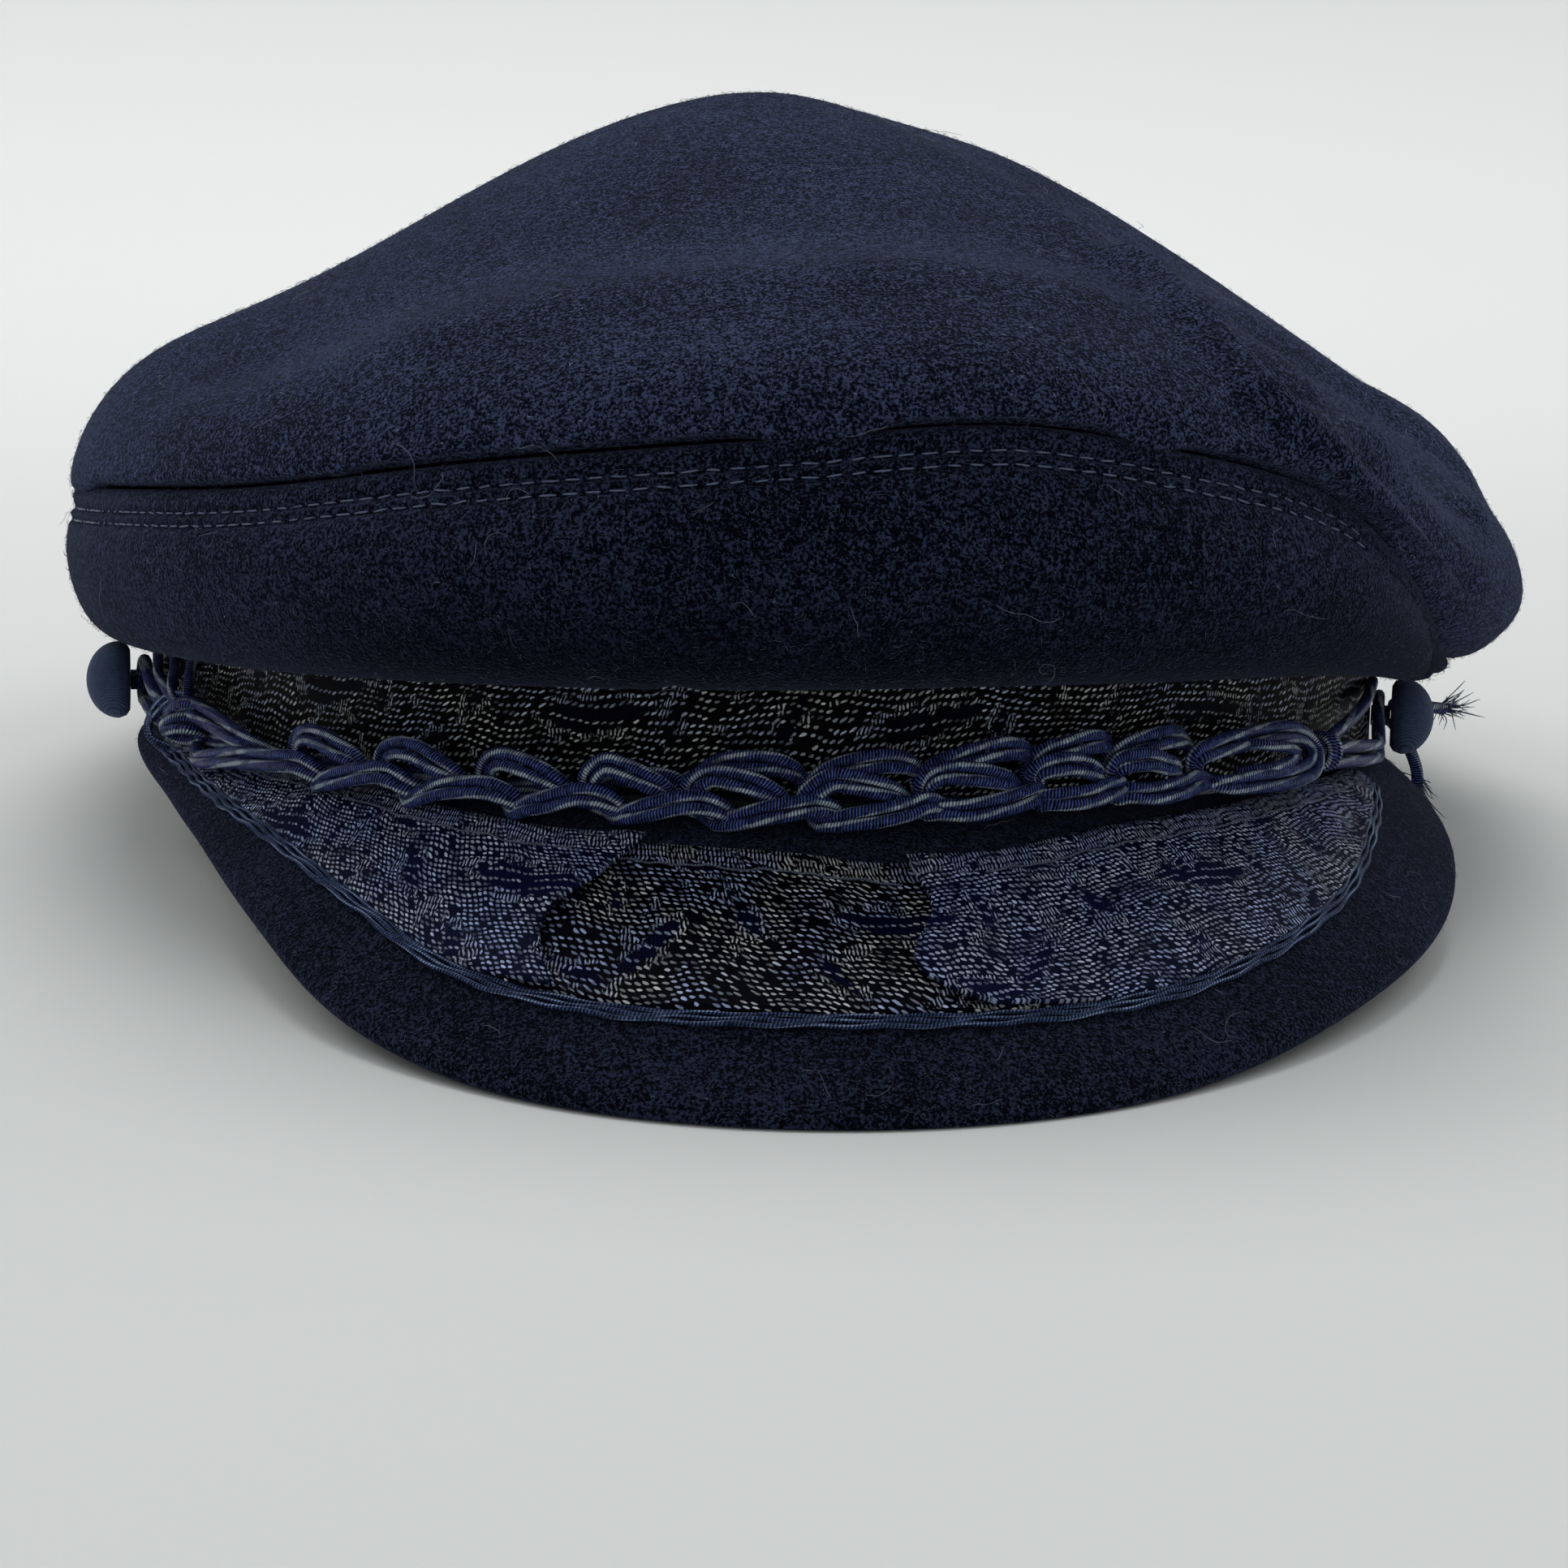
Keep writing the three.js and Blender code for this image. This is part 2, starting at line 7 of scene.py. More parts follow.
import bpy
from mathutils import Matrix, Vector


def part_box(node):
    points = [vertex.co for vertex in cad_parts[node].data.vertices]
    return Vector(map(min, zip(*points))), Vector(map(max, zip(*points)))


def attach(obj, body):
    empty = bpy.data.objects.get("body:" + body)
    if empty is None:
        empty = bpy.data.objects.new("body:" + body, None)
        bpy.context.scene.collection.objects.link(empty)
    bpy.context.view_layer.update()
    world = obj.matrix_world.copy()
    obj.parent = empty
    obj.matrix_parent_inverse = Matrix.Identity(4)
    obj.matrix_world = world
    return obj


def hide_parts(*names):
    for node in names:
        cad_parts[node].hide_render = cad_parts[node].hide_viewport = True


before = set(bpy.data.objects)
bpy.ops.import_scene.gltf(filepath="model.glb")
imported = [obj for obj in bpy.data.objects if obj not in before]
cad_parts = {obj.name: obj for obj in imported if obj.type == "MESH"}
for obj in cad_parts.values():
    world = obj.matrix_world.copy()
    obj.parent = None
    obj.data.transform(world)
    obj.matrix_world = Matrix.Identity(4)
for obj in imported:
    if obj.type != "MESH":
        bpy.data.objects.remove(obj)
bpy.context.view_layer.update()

# %% Libraries
import math

import bpy
import numpy as np
from mathutils import Matrix, Vector
from mathutils.bvhtree import BVHTree

# %% [markdown]
# ## The worn frame
# The frame holds the cap as it rests, leaned back on its visor and the back of its band. Round things
# are easier to place as the cap is worn, with the band's lower edge level at height 0, the front
# towards -Y and places named by azimuth, in degrees from the front towards +X. One matrix takes worn
# points to the resting cap, and the band's box gives its shift.

# %% Worn places to resting places
MM = 0.001
LEAN = math.radians(7.3)
BAND_WIDE, BAND_LONG, BAND_TALL = 0.088, 0.100, 0.028
# how much fuller the band is at each temple, and where that rises and falls, in degrees from the front
TEMPLE_LEFT, TEMPLE_RIGHT = 0.0056, 0.0006
TEMPLE_RISE, TEMPLE_FALL = (54, 78), (105, 150)
band_low, band_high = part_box("headband")
shift = Vector((
    (band_low.x + band_high.x + TEMPLE_LEFT - TEMPLE_RIGHT) / 2,
    (band_low.y + band_high.y) / 2 - BAND_TALL / 2 * math.sin(LEAN),
    band_high.z - BAND_TALL * math.cos(LEAN) - BAND_LONG * math.sin(LEAN),
))
WORN = Matrix.Translation(shift) @ Matrix.Rotation(-LEAN, 4, "X")
TO_WORN = WORN.inverted()
print("worn frame sits at", [round(v, 4) for v in shift])


def at(azimuth, radius, height):
    """A worn place, from an azimuth in degrees, a radius and a height in metres."""
    turn = math.radians(azimuth)
    return Vector((radius * math.sin(turn), -radius * math.cos(turn), height))


def moved(places, matrix):
    """An array of places, moved by a matrix."""
    return np.asarray(places) @ np.array(matrix.to_3x3()).T + np.array(matrix.translation)


def soft_step(value, low, high):
    """0 below low and 1 above high, with a soft step between them."""
    share = min(1.0, max(0.0, (value - low) / (high - low)))
    return share * share * (3 - 2 * share)


def band_radius(azimuth):
    """The band is an oval that is fuller at the temples, most at the left."""
    turn = math.radians(azimuth)
    turned = (azimuth + 540) % 360 - 180
    temple = TEMPLE_LEFT if turned < 0 else TEMPLE_RIGHT
    full = temple * soft_step(abs(turned), *TEMPLE_RISE) * (1 - soft_step(abs(turned), *TEMPLE_FALL))
    return 1 / math.hypot(math.sin(turn) / BAND_WIDE, math.cos(turn) / BAND_LONG) + full


def curve(rows, column=1):
    """A smooth function through the rows of a table, by its first column."""
    xs = np.array([row[0] for row in rows], float)
    ys = np.array([row[column] for row in rows], float)
    slopes = np.gradient(ys, xs)

    def value(x):
        x = np.clip(x, xs[0], xs[-1])
        i = np.clip(np.searchsorted(xs, x) - 1, 0, len(xs) - 2)
        span = xs[i + 1] - xs[i]
        t = (x - xs[i]) / span
        ends = ys[i] * (2 * t**3 - 3 * t**2 + 1) + ys[i + 1] * (3 * t**2 - 2 * t**3)
        return ends + span * (slopes[i] * (t**3 - 2 * t**2 + t) + slopes[i + 1] * (t**3 - t**2))

    return value


# %% [markdown]
# ## The camera
# The cap fills a square picture, seen from just above the visor and a touch from its right. The camera
# is set from the worn cap's front: how far it stands, how high, and how it is tipped.

# %% Camera
# place in worn millimetres, angles in degrees, and the lens in millimetres
CAMERA = {"place": (-12.19, -452.52, 45.66), "down": 7.0, "yaw": 1.7, "roll": 1.43, "lens": 67.08}
down, yaw, roll = (math.radians(CAMERA[name]) for name in ("down", "yaw", "roll"))
forward = Vector((math.sin(yaw) * math.cos(down), math.cos(yaw) * math.cos(down), -math.sin(down)))
level = Vector((math.cos(yaw), -math.sin(yaw), 0))
over = level.cross(forward)
right = level * math.cos(roll) + over * math.sin(roll)
up = over * math.cos(roll) - level * math.sin(roll)
bpy.ops.object.camera_add()
camera = bpy.context.object
camera.name = "camera"
camera.data.lens = CAMERA["lens"]
camera.data.sensor_width = 36
camera.data.clip_start = 0.01
facing = Matrix((right, up, -forward)).transposed().to_4x4()
camera.matrix_world = WORN @ Matrix.Translation(Vector(CAMERA["place"]) * MM) @ facing
bpy.context.scene.camera = camera
print("camera stands", round(camera.matrix_world.translation.z, 3), "m over the floor")

# %% [markdown]
# ## Shader maths
# A finish is a small network of nodes. Writing it as sums is easier to read than linking sockets, so
# a varying number is wrapped in a class whose operators add Math nodes, and every other node comes
# from one method that takes its type, its settings and its sockets.

# %% Sums of sockets
class Varying:
    """A number that varies over a surface. Sums with it add Math nodes to its finish."""

    def __init__(self, finish, socket):
        self.finish, self.socket = finish, socket

    def sum(self, operation, *values):
        """One Math node of this operation, on these values."""
        return self.finish.add("ShaderNodeMath", {"operation": operation}, dict(enumerate(values)))

    def __add__(self, other):
        return self.sum("ADD", self, other)

    def __sub__(self, other):
        return self.sum("SUBTRACT", self, other)

    def __rsub__(self, other):
        return self.sum("SUBTRACT", other, self)

    def __mul__(self, other):
        return self.sum("MULTIPLY", self, other)

    def __truediv__(self, other):
        return self.sum("DIVIDE", self, other)

    def __pow__(self, other):
        return self.sum("POWER", self, other)

    def __gt__(self, other):
        return self.sum("GREATER_THAN", self, other)

    def __abs__(self):
        return self.sum("ABSOLUTE", self)

    __radd__, __rmul__ = __add__, __mul__

    def sine(self):
        return self.sum("SINE", self)

    def floor(self):
        return self.sum("FLOOR", self)

    def fraction(self):
        return self.sum("FRACT", self)

    def larger(self, other):
        return self.sum("MAXIMUM", self, other)

    def ramp(self, low, high):
        """0 below low and 1 above high, with a soft step between them."""
        sockets = {"Value": self, "From Min": low, "From Max": high}
        return self.finish.add("ShaderNodeMapRange", {"interpolation_type": "SMOOTHSTEP"}, sockets)


class Finish:
    """A material under construction. `shine` sets the shader's own sockets, which don't vary."""

    def __init__(self, name, shine):
        self.material = bpy.data.materials.new(name)
        self.material.use_nodes = True
        self.tree = self.material.node_tree
        self.shader = self.tree.nodes["Principled BSDF"]
        for socket, value in shine.items():
            self.shader.inputs[socket].default_value = value

    def add(self, kind, settings=None, sockets=None, out=0):
        """A node of any type: its settings first, then the values or links of its sockets."""
        node = self.tree.nodes.new(kind)
        for name, value in (settings or {}).items():
            setattr(node, name, value)
        for name, value in (sockets or {}).items():
            if isinstance(value, Varying):
                self.tree.links.new(value.socket, node.inputs[name])
            else:
                node.inputs[name].default_value = value
        return Varying(self, node.outputs[out])

    def noise(self, place, scale, detail=2.0, **more):
        """Smooth random numbers from 0 to 1, `scale` waves to a metre."""
        sockets = {"Vector": place, "Scale": scale, "Detail": detail, **more}
        return self.add("ShaderNodeTexNoise", None, sockets)

    def mix(self, factor, a, b):
        """A colour between two, each a link or three numbers."""
        sockets = {0: factor}
        for index, color in ((6, a), (7, b)):
            sockets[index] = color if isinstance(color, Varying) else (*color, 1)
        return self.add("ShaderNodeMix", {"data_type": "RGBA", "clamp_factor": True}, sockets, 2)

    def split(self, vector):
        """The X, Y and Z of a vector, as numbers."""
        node = self.add("ShaderNodeSeparateXYZ", None, {0: vector}).socket.node
        return [Varying(self, socket) for socket in node.outputs]

    def bump(self, height, distance, strength=1.0):
        """Normals of a relief that is `distance` metres high."""
        sockets = {"Height": height, "Distance": distance, "Strength": strength}
        return self.add("ShaderNodeBump", None, sockets)

    def wear(self, **sockets):
        """Link varying values to the shader and hand the material over."""
        for name, value in sockets.items():
            self.tree.links.new(value.socket, self.shader.inputs[name.replace("_", " ")])
        return self.material


# %% [markdown]
# ## Wool melton
# Melton is wool that was fulled until its weave closed under a short felt of fibres. Close up it is
# a mottled navy with lighter specks half a millimetre across, matt in front and pale at a grazing
# angle, where the fibres catch light. Sheen gives that pale edge, two sizes of noise give the mottle,
# and a bump of the same noise breaks up the light. Each piece is painted lighter or darker for the light
# it gets, the crown's top lightest and the visor darkest, and painted shade darkens the front of the
# side panels towards the band.

# %% Wool
TO_MM = 1000
WOOL = {"dark": (0.0014, 0.0021, 0.0060), "light": (0.037, 0.048, 0.100), "fleck": (0.18, 0.22, 0.34)}
# painted shade on the side panels is darkest up to the first height and gone from the second, in worn
# millimetres, and gone up to the first place along X and darkest from the second, in metres
PAINTED_SHADE_HEIGHT, PAINTED_SHADE_ALONG = (13, 33), (-0.090, -0.045)


def wool(name, painted_light, painted_shade=0.0):
    """A wool finish, painted lighter by the first number for the light its piece gets, and painted darker in
    shade at its front towards the band by the second, 0 to 1.
    """
    shine = {
        "Roughness": 1.0,
        "Specular IOR Level": 0.03,
        "Sheen Weight": 0.11,
        "Sheen Roughness": 0.4,
        "Sheen Tint": (0.52, 0.64, 1.0, 1),
    }
    dark, light, pale = ([channel * painted_light for channel in color] for color in WOOL.values())
    finish = Finish(name, shine)
    place = finish.add("ShaderNodeTexCoord", out="Object")
    speck = finish.noise(place, 2500, 2, Roughness=0.6)
    clump = finish.noise(place, 900, 2)
    drift = finish.noise(place, 45, 2)
    shade = (speck * 0.76 + clump * 0.24 + drift * 0.12).ramp(0.51, 0.68)
    color = finish.mix(shade, dark, light)
    fleck = finish.noise(place, 2300, 1, Distortion=1.5).ramp(0.72, 0.80)
    color = finish.mix(fleck, color, pale)
    x, y, z = finish.split(place)
    up = TO_WORN[2]
    height = (x * up[0] + y * up[1] + z * up[2] + up[3]) * TO_MM
    # painted shade: the lower front and right of the side panels are darkened towards the band
    painted_shade_near_band = (1 - height.ramp(*PAINTED_SHADE_HEIGHT)) * x.ramp(*PAINTED_SHADE_ALONG) * painted_shade
    color = finish.mix(painted_shade_near_band, color, dark)
    relief = finish.bump(speck * 0.8 + clump * 0.5, 0.0006, 0.9)
    return finish.wear(Base_Color=color, Normal=relief)


# each piece's wool is painted lighter or darker for the light that falls on it: the crown's top lightest, the
# visor darkest, and the side panels also get painted shade towards the band
melton_top = wool("wool_top", 1.42)
melton_side = wool("wool_side", 0.86, 0.85)
melton_visor = wool("wool_visor", 0.66)
print("wool finish has", len(melton_side.node_tree.nodes), "nodes")

# %% [markdown]
# ## Helpers for shaping
# Operators act on all that is selected, so each piece is made alone: everything is deselected, the
# piece is selected and made active, and the operator runs on it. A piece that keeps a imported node's
# form starts from a merged copy of that node, because the node itself must stay as it is.

# %% Selecting and copying
def alone(piece):
    """Select one piece and make it active, with nothing else selected."""
    bpy.ops.object.select_all(action="DESELECT")
    piece.select_set(True)
    bpy.context.view_layer.objects.active = piece
    return piece


def subdivide(piece, levels):
    """Apply a subdivision surface."""
    alone(piece)
    smooth = piece.modifiers.new("smooth", "SUBSURF")
    smooth.levels = smooth.render_levels = levels
    bpy.ops.object.modifier_apply(modifier=smooth.name)
    bpy.ops.object.shade_smooth()
    return piece


def raw_copy(node, name):
    """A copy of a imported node, with its own mesh of loose triangles."""
    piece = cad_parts[node].copy()
    piece.data = piece.data.copy()
    piece.name = piece.data.name = name
    bpy.context.collection.objects.link(piece)
    return piece


def merge_triangles(distance):
    """Merge the doubles of a mesh in edit mode and pair its triangles into quads."""
    bpy.ops.mesh.select_all(action="SELECT")
    bpy.ops.mesh.remove_doubles(threshold=distance)
    bpy.ops.mesh.tris_convert_to_quads(face_threshold=math.pi, shape_threshold=math.pi)
    bpy.ops.object.mode_set(mode="OBJECT")


def merged_copy(node, name):
    """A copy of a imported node, its triangles merged and paired into quads."""
    piece = alone(raw_copy(node, name))
    bpy.ops.object.mode_set(mode="EDIT")
    merge_triangles(0.02 * MM)
    return piece


def points_of(piece):
    """A piece's worn vertices and normals, as arrays."""
    count = len(piece.data.vertices)
    place = np.empty(count * 3)
    normal = np.empty(count * 3)
    piece.data.vertices.foreach_get("co", place)
    piece.data.vertices.foreach_get("normal", normal)
    return moved(place.reshape(-1, 3), TO_WORN), normal.reshape(-1, 3) @ np.array(TO_WORN.to_3x3()).T


def move_to(piece, worn):
    """Put a piece's vertices at worn places."""
    piece.data.vertices.foreach_set("co", moved(worn, WORN).ravel())
    piece.data.update()


def finish_piece(piece, material, slot, *nodes):
    """Give a piece its material, let it ride, and hide the nodes it stands for."""
    piece.data.materials.clear()
    piece.data.materials.append(material)
    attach(piece, "root")
    if nodes:
        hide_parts(*nodes)
    print(piece.name, len(piece.data.polygons), "faces")


# %% [markdown]
# ## The seam line
# The crown's round tip is sewn to the side panels along a seam that dips at the back and rises over
# the brow. It is read off the frame: at each azimuth it is the tip's lowest point.

# %% Azimuths of many places
def azimuths_of(worn):
    """The azimuth of each worn place, in degrees."""
    return np.degrees(np.arctan2(worn[:, 0], -worn[:, 1]))


def turn_from(azimuth, target):
    """How far azimuths are from a target, the short way round, in degrees."""
    return np.abs((azimuth - target + 180) % 360 - 180)


# %% Read the seam
SEAM_STEP = 6
tip_places = points_of(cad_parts["crown_tip"])[0]
tip_azimuths = azimuths_of(tip_places)
seam_rows = []
for azimuth in range(-180, 180 + SEAM_STEP, SEAM_STEP):
    near = turn_from(tip_azimuths, azimuth) < SEAM_STEP / 4
    lowest = tip_places[near][np.argmin(tip_places[near][:, 2])]
    seam_rows.append((azimuth, lowest[2], math.hypot(lowest[0], lowest[1])))
seam_height = curve(seam_rows, 1)
seam_radius = curve(seam_rows, 2)
heights = [height for _, height, _ in seam_rows]
print("seam heights", round(min(heights), 4), "to", round(max(heights), 4))

# %% [markdown]
# ## The crown
# The tip and the two side panels are soft cloth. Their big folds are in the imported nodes, which are
# smoothed here by subdivision. The faces that need more detail, or have to go, are picked out by the
# worn places of their middles.

# %% Selecting faces by their place
def face_middles(piece):
    """The worn middles of a piece's faces, as an array."""
    middles = np.empty(len(piece.data.polygons) * 3)
    piece.data.polygons.foreach_get("center", middles)
    return moved(middles.reshape(-1, 3), TO_WORN)


def select_faces(piece, keep):
    """Enter edit mode with the faces selected for which `keep` is true."""
    alone(piece)
    bpy.ops.object.mode_set(mode="EDIT")
    bpy.ops.mesh.select_mode(type="FACE")
    bpy.ops.mesh.select_all(action="DESELECT")
    bpy.ops.object.mode_set(mode="OBJECT")
    piece.data.polygons.foreach_set("select", np.asarray(keep, bool))
    bpy.ops.object.mode_set(mode="EDIT")


def subdivide_selected(cuts):
    """Cut the selected faces of a mesh in edit mode, and smooth the piece again."""
    bpy.ops.mesh.subdivide(number_cuts=cuts, smoothness=0.6)
    bpy.ops.object.mode_set(mode="OBJECT")
    bpy.ops.object.shade_smooth()


# %% [markdown]
# Slack cloth buckles into ridges with a furrow beside each. Every fold here is a path over the crown,
# and the cloth moves out or in along its normals, by a bell curve of the distance to that path. The
# crease over the seam stands open in four stretches and is pressed shut between them.

# %% Ridges and furrows
# height and half width (mm), and the worn path (mm), with heights where the cloth is steep
CREASES = (
    (3.2, 3.0, ((43, -64, 68), (48, -84, 60), (54, -93, 51), (61, -93, 46), (69, -87, 40),
                (77, -78, 33), (85, -69, 26), (91, -58, 20))),
    (-1.9, 5.0, ((46, -58, 69), (52, -72, 63), (57, -85, 57), (63, -88, 51))),
    (2.2, 2.6, ((63, -90, 48), (70, -84, 46), (80, -66, 43), (89, -50, 40), (96, -45, 36))),
    (-1.8, 2.8, ((70, -88, 43), (78, -78, 38), (86, -69, 32), (92, -61, 26))),
    (1.0, 3.2, ((67, -15), (80, -12), (94, -10), (102, -8))),
    (-1.1, 3.6, ((70, -24), (80, -21), (94, -19), (102, -17))),
    (0.6, 5.0, ((-46, -90), (-15, -93), (5, -93), (24, -92), (37, -88))),
    (-1.0, 8.0, ((-72, -58), (-62, -70))),
    (4.2, 12.0, ((64, -2), (76, 2), (88, 4), (99, 8), (104, 12))),
)
# stretches of the seam where the crease stands open: from and to, in degrees, and how far, 0 to 1
OPEN_CREASE = ((-64, -30, 0.75), (-30, -3, 1.0), (4, 19, 1.0), (23, 44, 0.9))
# how soft the ends of a stretch are, in degrees, and how deep the crease opens behind its edge
SOFT_END = 3
OPEN_DEPTH = 1.2 * MM


def fade(distance, width):
    """A bell curve: 1 at no distance, and nearly 0 past two widths."""
    return np.exp(-((distance / width) ** 2))


def distance_to_path(worn, path):
    """Distance from places to a path of straight legs, measured level if the path has no heights."""
    places = worn[:, :path.shape[1]]
    nearest = np.full(len(places), np.inf)
    for start, end in zip(path, path[1:]):
        leg = end - start
        along = np.clip((places - start) @ leg / (leg @ leg), 0, 1)
        nearest = np.minimum(nearest, np.linalg.norm(places - start - along[:, None] * leg, axis=1))
    return nearest


def crease_open(azimuth):
    """How far the crease stands open, from 0 to 1, with soft ends to each stretch."""
    rising = [amount * np.clip(np.minimum(azimuth - start, end - azimuth) / SOFT_END + 0.5, 0, 1)
              for start, end, amount in OPEN_CREASE]
    return np.max(rising, axis=0)


def out_of_middle(worn):
    """How far places lie from the cap's upright middle line."""
    return np.hypot(worn[:, 0], worn[:, 1])


# %% [markdown]
# Subdivision draws an open edge back a little, so the tip's turned edge is pressed down onto the
# panels again, as the seam holds it. Where the crease stands open, the edge is lifted instead.

# %% Crown tip
# the strip that is cut finer, how far its edge goes down and how far an open crease takes it up again
# (mm), and how far up the strip that reaches
EDGE = {"strip": 4 * MM, "down": 1.3, "open": 1.75, "tall": 2.2 * MM}
crown_tip = subdivide(merged_copy("crown_tip", "wool_crown_tip"), 2)
middle = face_middles(crown_tip)
select_faces(crown_tip, middle[:, 2] - seam_height(azimuths_of(middle)) < EDGE["strip"])
subdivide_selected(1)
worn, normal = points_of(crown_tip)
azimuth = azimuths_of(worn)
above = worn[:, 2] - seam_height(azimuth)
inside = seam_radius(azimuth) - out_of_middle(worn)
for height, width, path in CREASES:
    amount = height * MM * fade(distance_to_path(worn, np.array(path) * MM), width * MM)
    worn += normal * (amount * (above > 1 * MM) * (normal[:, 2] > -0.2))[:, None]
press = EDGE["down"] - EDGE["open"] * crease_open(azimuth) * fade(np.maximum(inside, 0), OPEN_DEPTH)
worn[:, 2] -= press * MM * fade(np.maximum(above, 0), EDGE["tall"])
move_to(crown_tip, worn)
finish_piece(crown_tip, melton_top, "wool", "crown_tip")

# %% [markdown]
# The side panels meet in two short seams, one near the front and one behind, and are one band of
# cloth once sewn. So both copies are joined, the faces that close their ends are deleted and the
# ends are merged.

# %% Side panels
# the azimuths of the two seams, and how near to one a closing face lies, in degrees
SEAMS = (-8, 172)
SEAM_ENDS = 0.5
panels = raw_copy("crown_side_right", "wool_side_panels")
other = raw_copy("crown_side_left", "other_panel")
alone(panels)
other.select_set(True)
bpy.ops.object.join()
azimuth = azimuths_of(face_middles(panels))
select_faces(panels, np.minimum(turn_from(azimuth, SEAMS[0]), turn_from(azimuth, SEAMS[1])) < SEAM_ENDS)
bpy.ops.mesh.delete(type="FACE")
merge_triangles(0.6 * MM)
subdivide(panels, 2)
print("side panels have", len(panels.data.polygons), "faces")

# %% [markdown]
# Under the crease the seam allowance makes a soft roll, and two rows of topstitching press two
# furrows into it. The strip below the seam is subdivided once more so that it can hold them. Where
# the crease is shut, the panels' upper edge rises to meet the tip.

# %% Roll and furrows under the seam
STITCH_ROWS = {"upper": 3.5 * MM, "lower": 5.1 * MM}
STRIP = {"middle": 3 * MM, "half": 5 * MM, "in": 1 * MM}
# heights and depths are in millimetres: the roll, a furrow that gets deeper in so many waves to a turn,
# the ridge between both furrows, the dent of a panel seam, with the millimetres to a degree there, and
# how far the upper edge rises
ROLL = {"high": 0.8, "below": 1.7 * MM, "half": 1.1 * MM}
FURROW = {"deep": 0.35, "deeper": 0.25, "half": 0.45 * MM, "waves": 215}
RIDGE = {"high": 0.2, "half": 0.5 * MM}
DENT = {"deep": 0.5, "half": 0.5 * MM, "per_degree": 2.05}
RISE = {"high": 0.7, "below": 0.5 * MM, "half": 0.8 * MM}
middle = face_middles(panels)
azimuth = azimuths_of(middle)
below = seam_height(azimuth) - middle[:, 2]
outer = out_of_middle(middle) > seam_radius(azimuth) - STRIP["in"]
select_faces(panels, (np.abs(below - STRIP["middle"]) < STRIP["half"]) & outer)
subdivide_selected(2)
worn, normal = points_of(panels)
azimuth = azimuths_of(worn)
below = seam_height(azimuth) - worn[:, 2]
outer = out_of_middle(worn) > seam_radius(azimuth) - 1.5 * MM
ripple = 0.5 + 0.5 * np.sin(np.radians(azimuth) * FURROW["waves"])
relief = ROLL["high"] * fade(below - ROLL["below"], ROLL["half"])
for depth in STITCH_ROWS.values():
    relief -= (FURROW["deep"] + FURROW["deeper"] * ripple) * fade(below - depth, FURROW["half"])
relief += RIDGE["high"] * fade(below - sum(STITCH_ROWS.values()) / 2, RIDGE["half"])
relief = np.where(outer & (below > -1 * MM), relief, 0)
for seam in SEAMS:
    beside = turn_from(azimuth, seam) * DENT["per_degree"] * MM
    relief -= DENT["deep"] * fade(beside, DENT["half"]) * (normal[:, 2] < 0.5)
worn += normal * relief[:, None] * MM
inside = seam_radius(azimuth) - out_of_middle(worn)
shut = 1 - crease_open(azimuth) * fade(np.maximum(inside, 0), OPEN_DEPTH)
over = np.minimum(below, RISE["below"]) - RISE["below"]
rise = RISE["high"] * MM * shut * fade(over, RISE["half"])
worn[:, 2] += rise * outer * (below < RISE["below"])
move_to(panels, worn)
finish_piece(panels, melton_side, "wool", "crown_side_right", "crown_side_left")

# %% [markdown]
# ## Visor and headband
# The visor is a board under the same cloth, and the headband a folded strip of it. The visor's root
# is tucked in a little, where it is sewn under the band, and the headband's edges are rounded.

# %% Visor and headband
TUCK = {"share": 0.028, "reach": 0.02}
visor = subdivide(merged_copy("visor", "wool_visor"), 2)
worn, _ = points_of(visor)
reach = np.hypot(worn[:, 0] / BAND_WIDE, worn[:, 1] / BAND_LONG)
tuck = 1 - TUCK["share"] * fade(np.maximum(reach - 1, 0), TUCK["reach"])
worn[:, 0] *= tuck
worn[:, 1] *= tuck
move_to(visor, worn)
finish_piece(visor, melton_visor, "wool", "visor")

headband = merged_copy("headband", "wool_headband")
rounding = headband.modifiers.new("rounding", "BEVEL")
rounding.width, rounding.segments = 0.9 * MM, 3
rounding.limit_method, rounding.angle_limit = "ANGLE", math.radians(50)
bpy.ops.object.modifier_apply(modifier=rounding.name)
subdivide(headband, 1)
finish_piece(headband, melton_visor, "wool", "headband")

# %% [markdown]
# ## Finding the surface
# Stitches, ribbons and fibres lie on the cloth, so they ask where it is: a ray in worn places meets
# a piece and gives the place and the direction that the surface faces.

# %% Surfaces
def surface(piece):
    """A function that shoots a worn ray at a piece and gives the worn place and normal it meets."""
    worn = points_of(piece)[0]
    tree = BVHTree.FromPolygons(worn.tolist(), [tuple(p.vertices) for p in piece.data.polygons])

    def meet(start, direction):
        place, normal, _, _ = tree.ray_cast(Vector(start), Vector(direction))
        if place is not None and normal.dot(Vector(direction)) > 0:
            normal = -normal
        return place, normal

    return meet


ABOVE_ALL = 0.1
on_panels = surface(panels)
on_visor = surface(visor)


def visor_place(azimuth, reach, lift):
    """A worn place on the visor's top, a level distance beyond the band and raised by `lift`."""
    place, normal = on_visor(at(azimuth, band_radius(azimuth) + reach, ABOVE_ALL), (0, 0, -1))
    return place + normal * lift


# %% [markdown]
# ## Cords
# A round cord is a ring of points swept along a path. Its UV map runs in metres along the cord and
# once round it, so that a twist drawn on it keeps its pitch wherever the cord bends.

# %% Paths
CURVE_STEPS = 16


def lengths_along(path):
    """How far along a path each of its points lies."""
    return np.concatenate([[0], np.cumsum(np.linalg.norm(np.diff(path, axis=0), axis=1))])


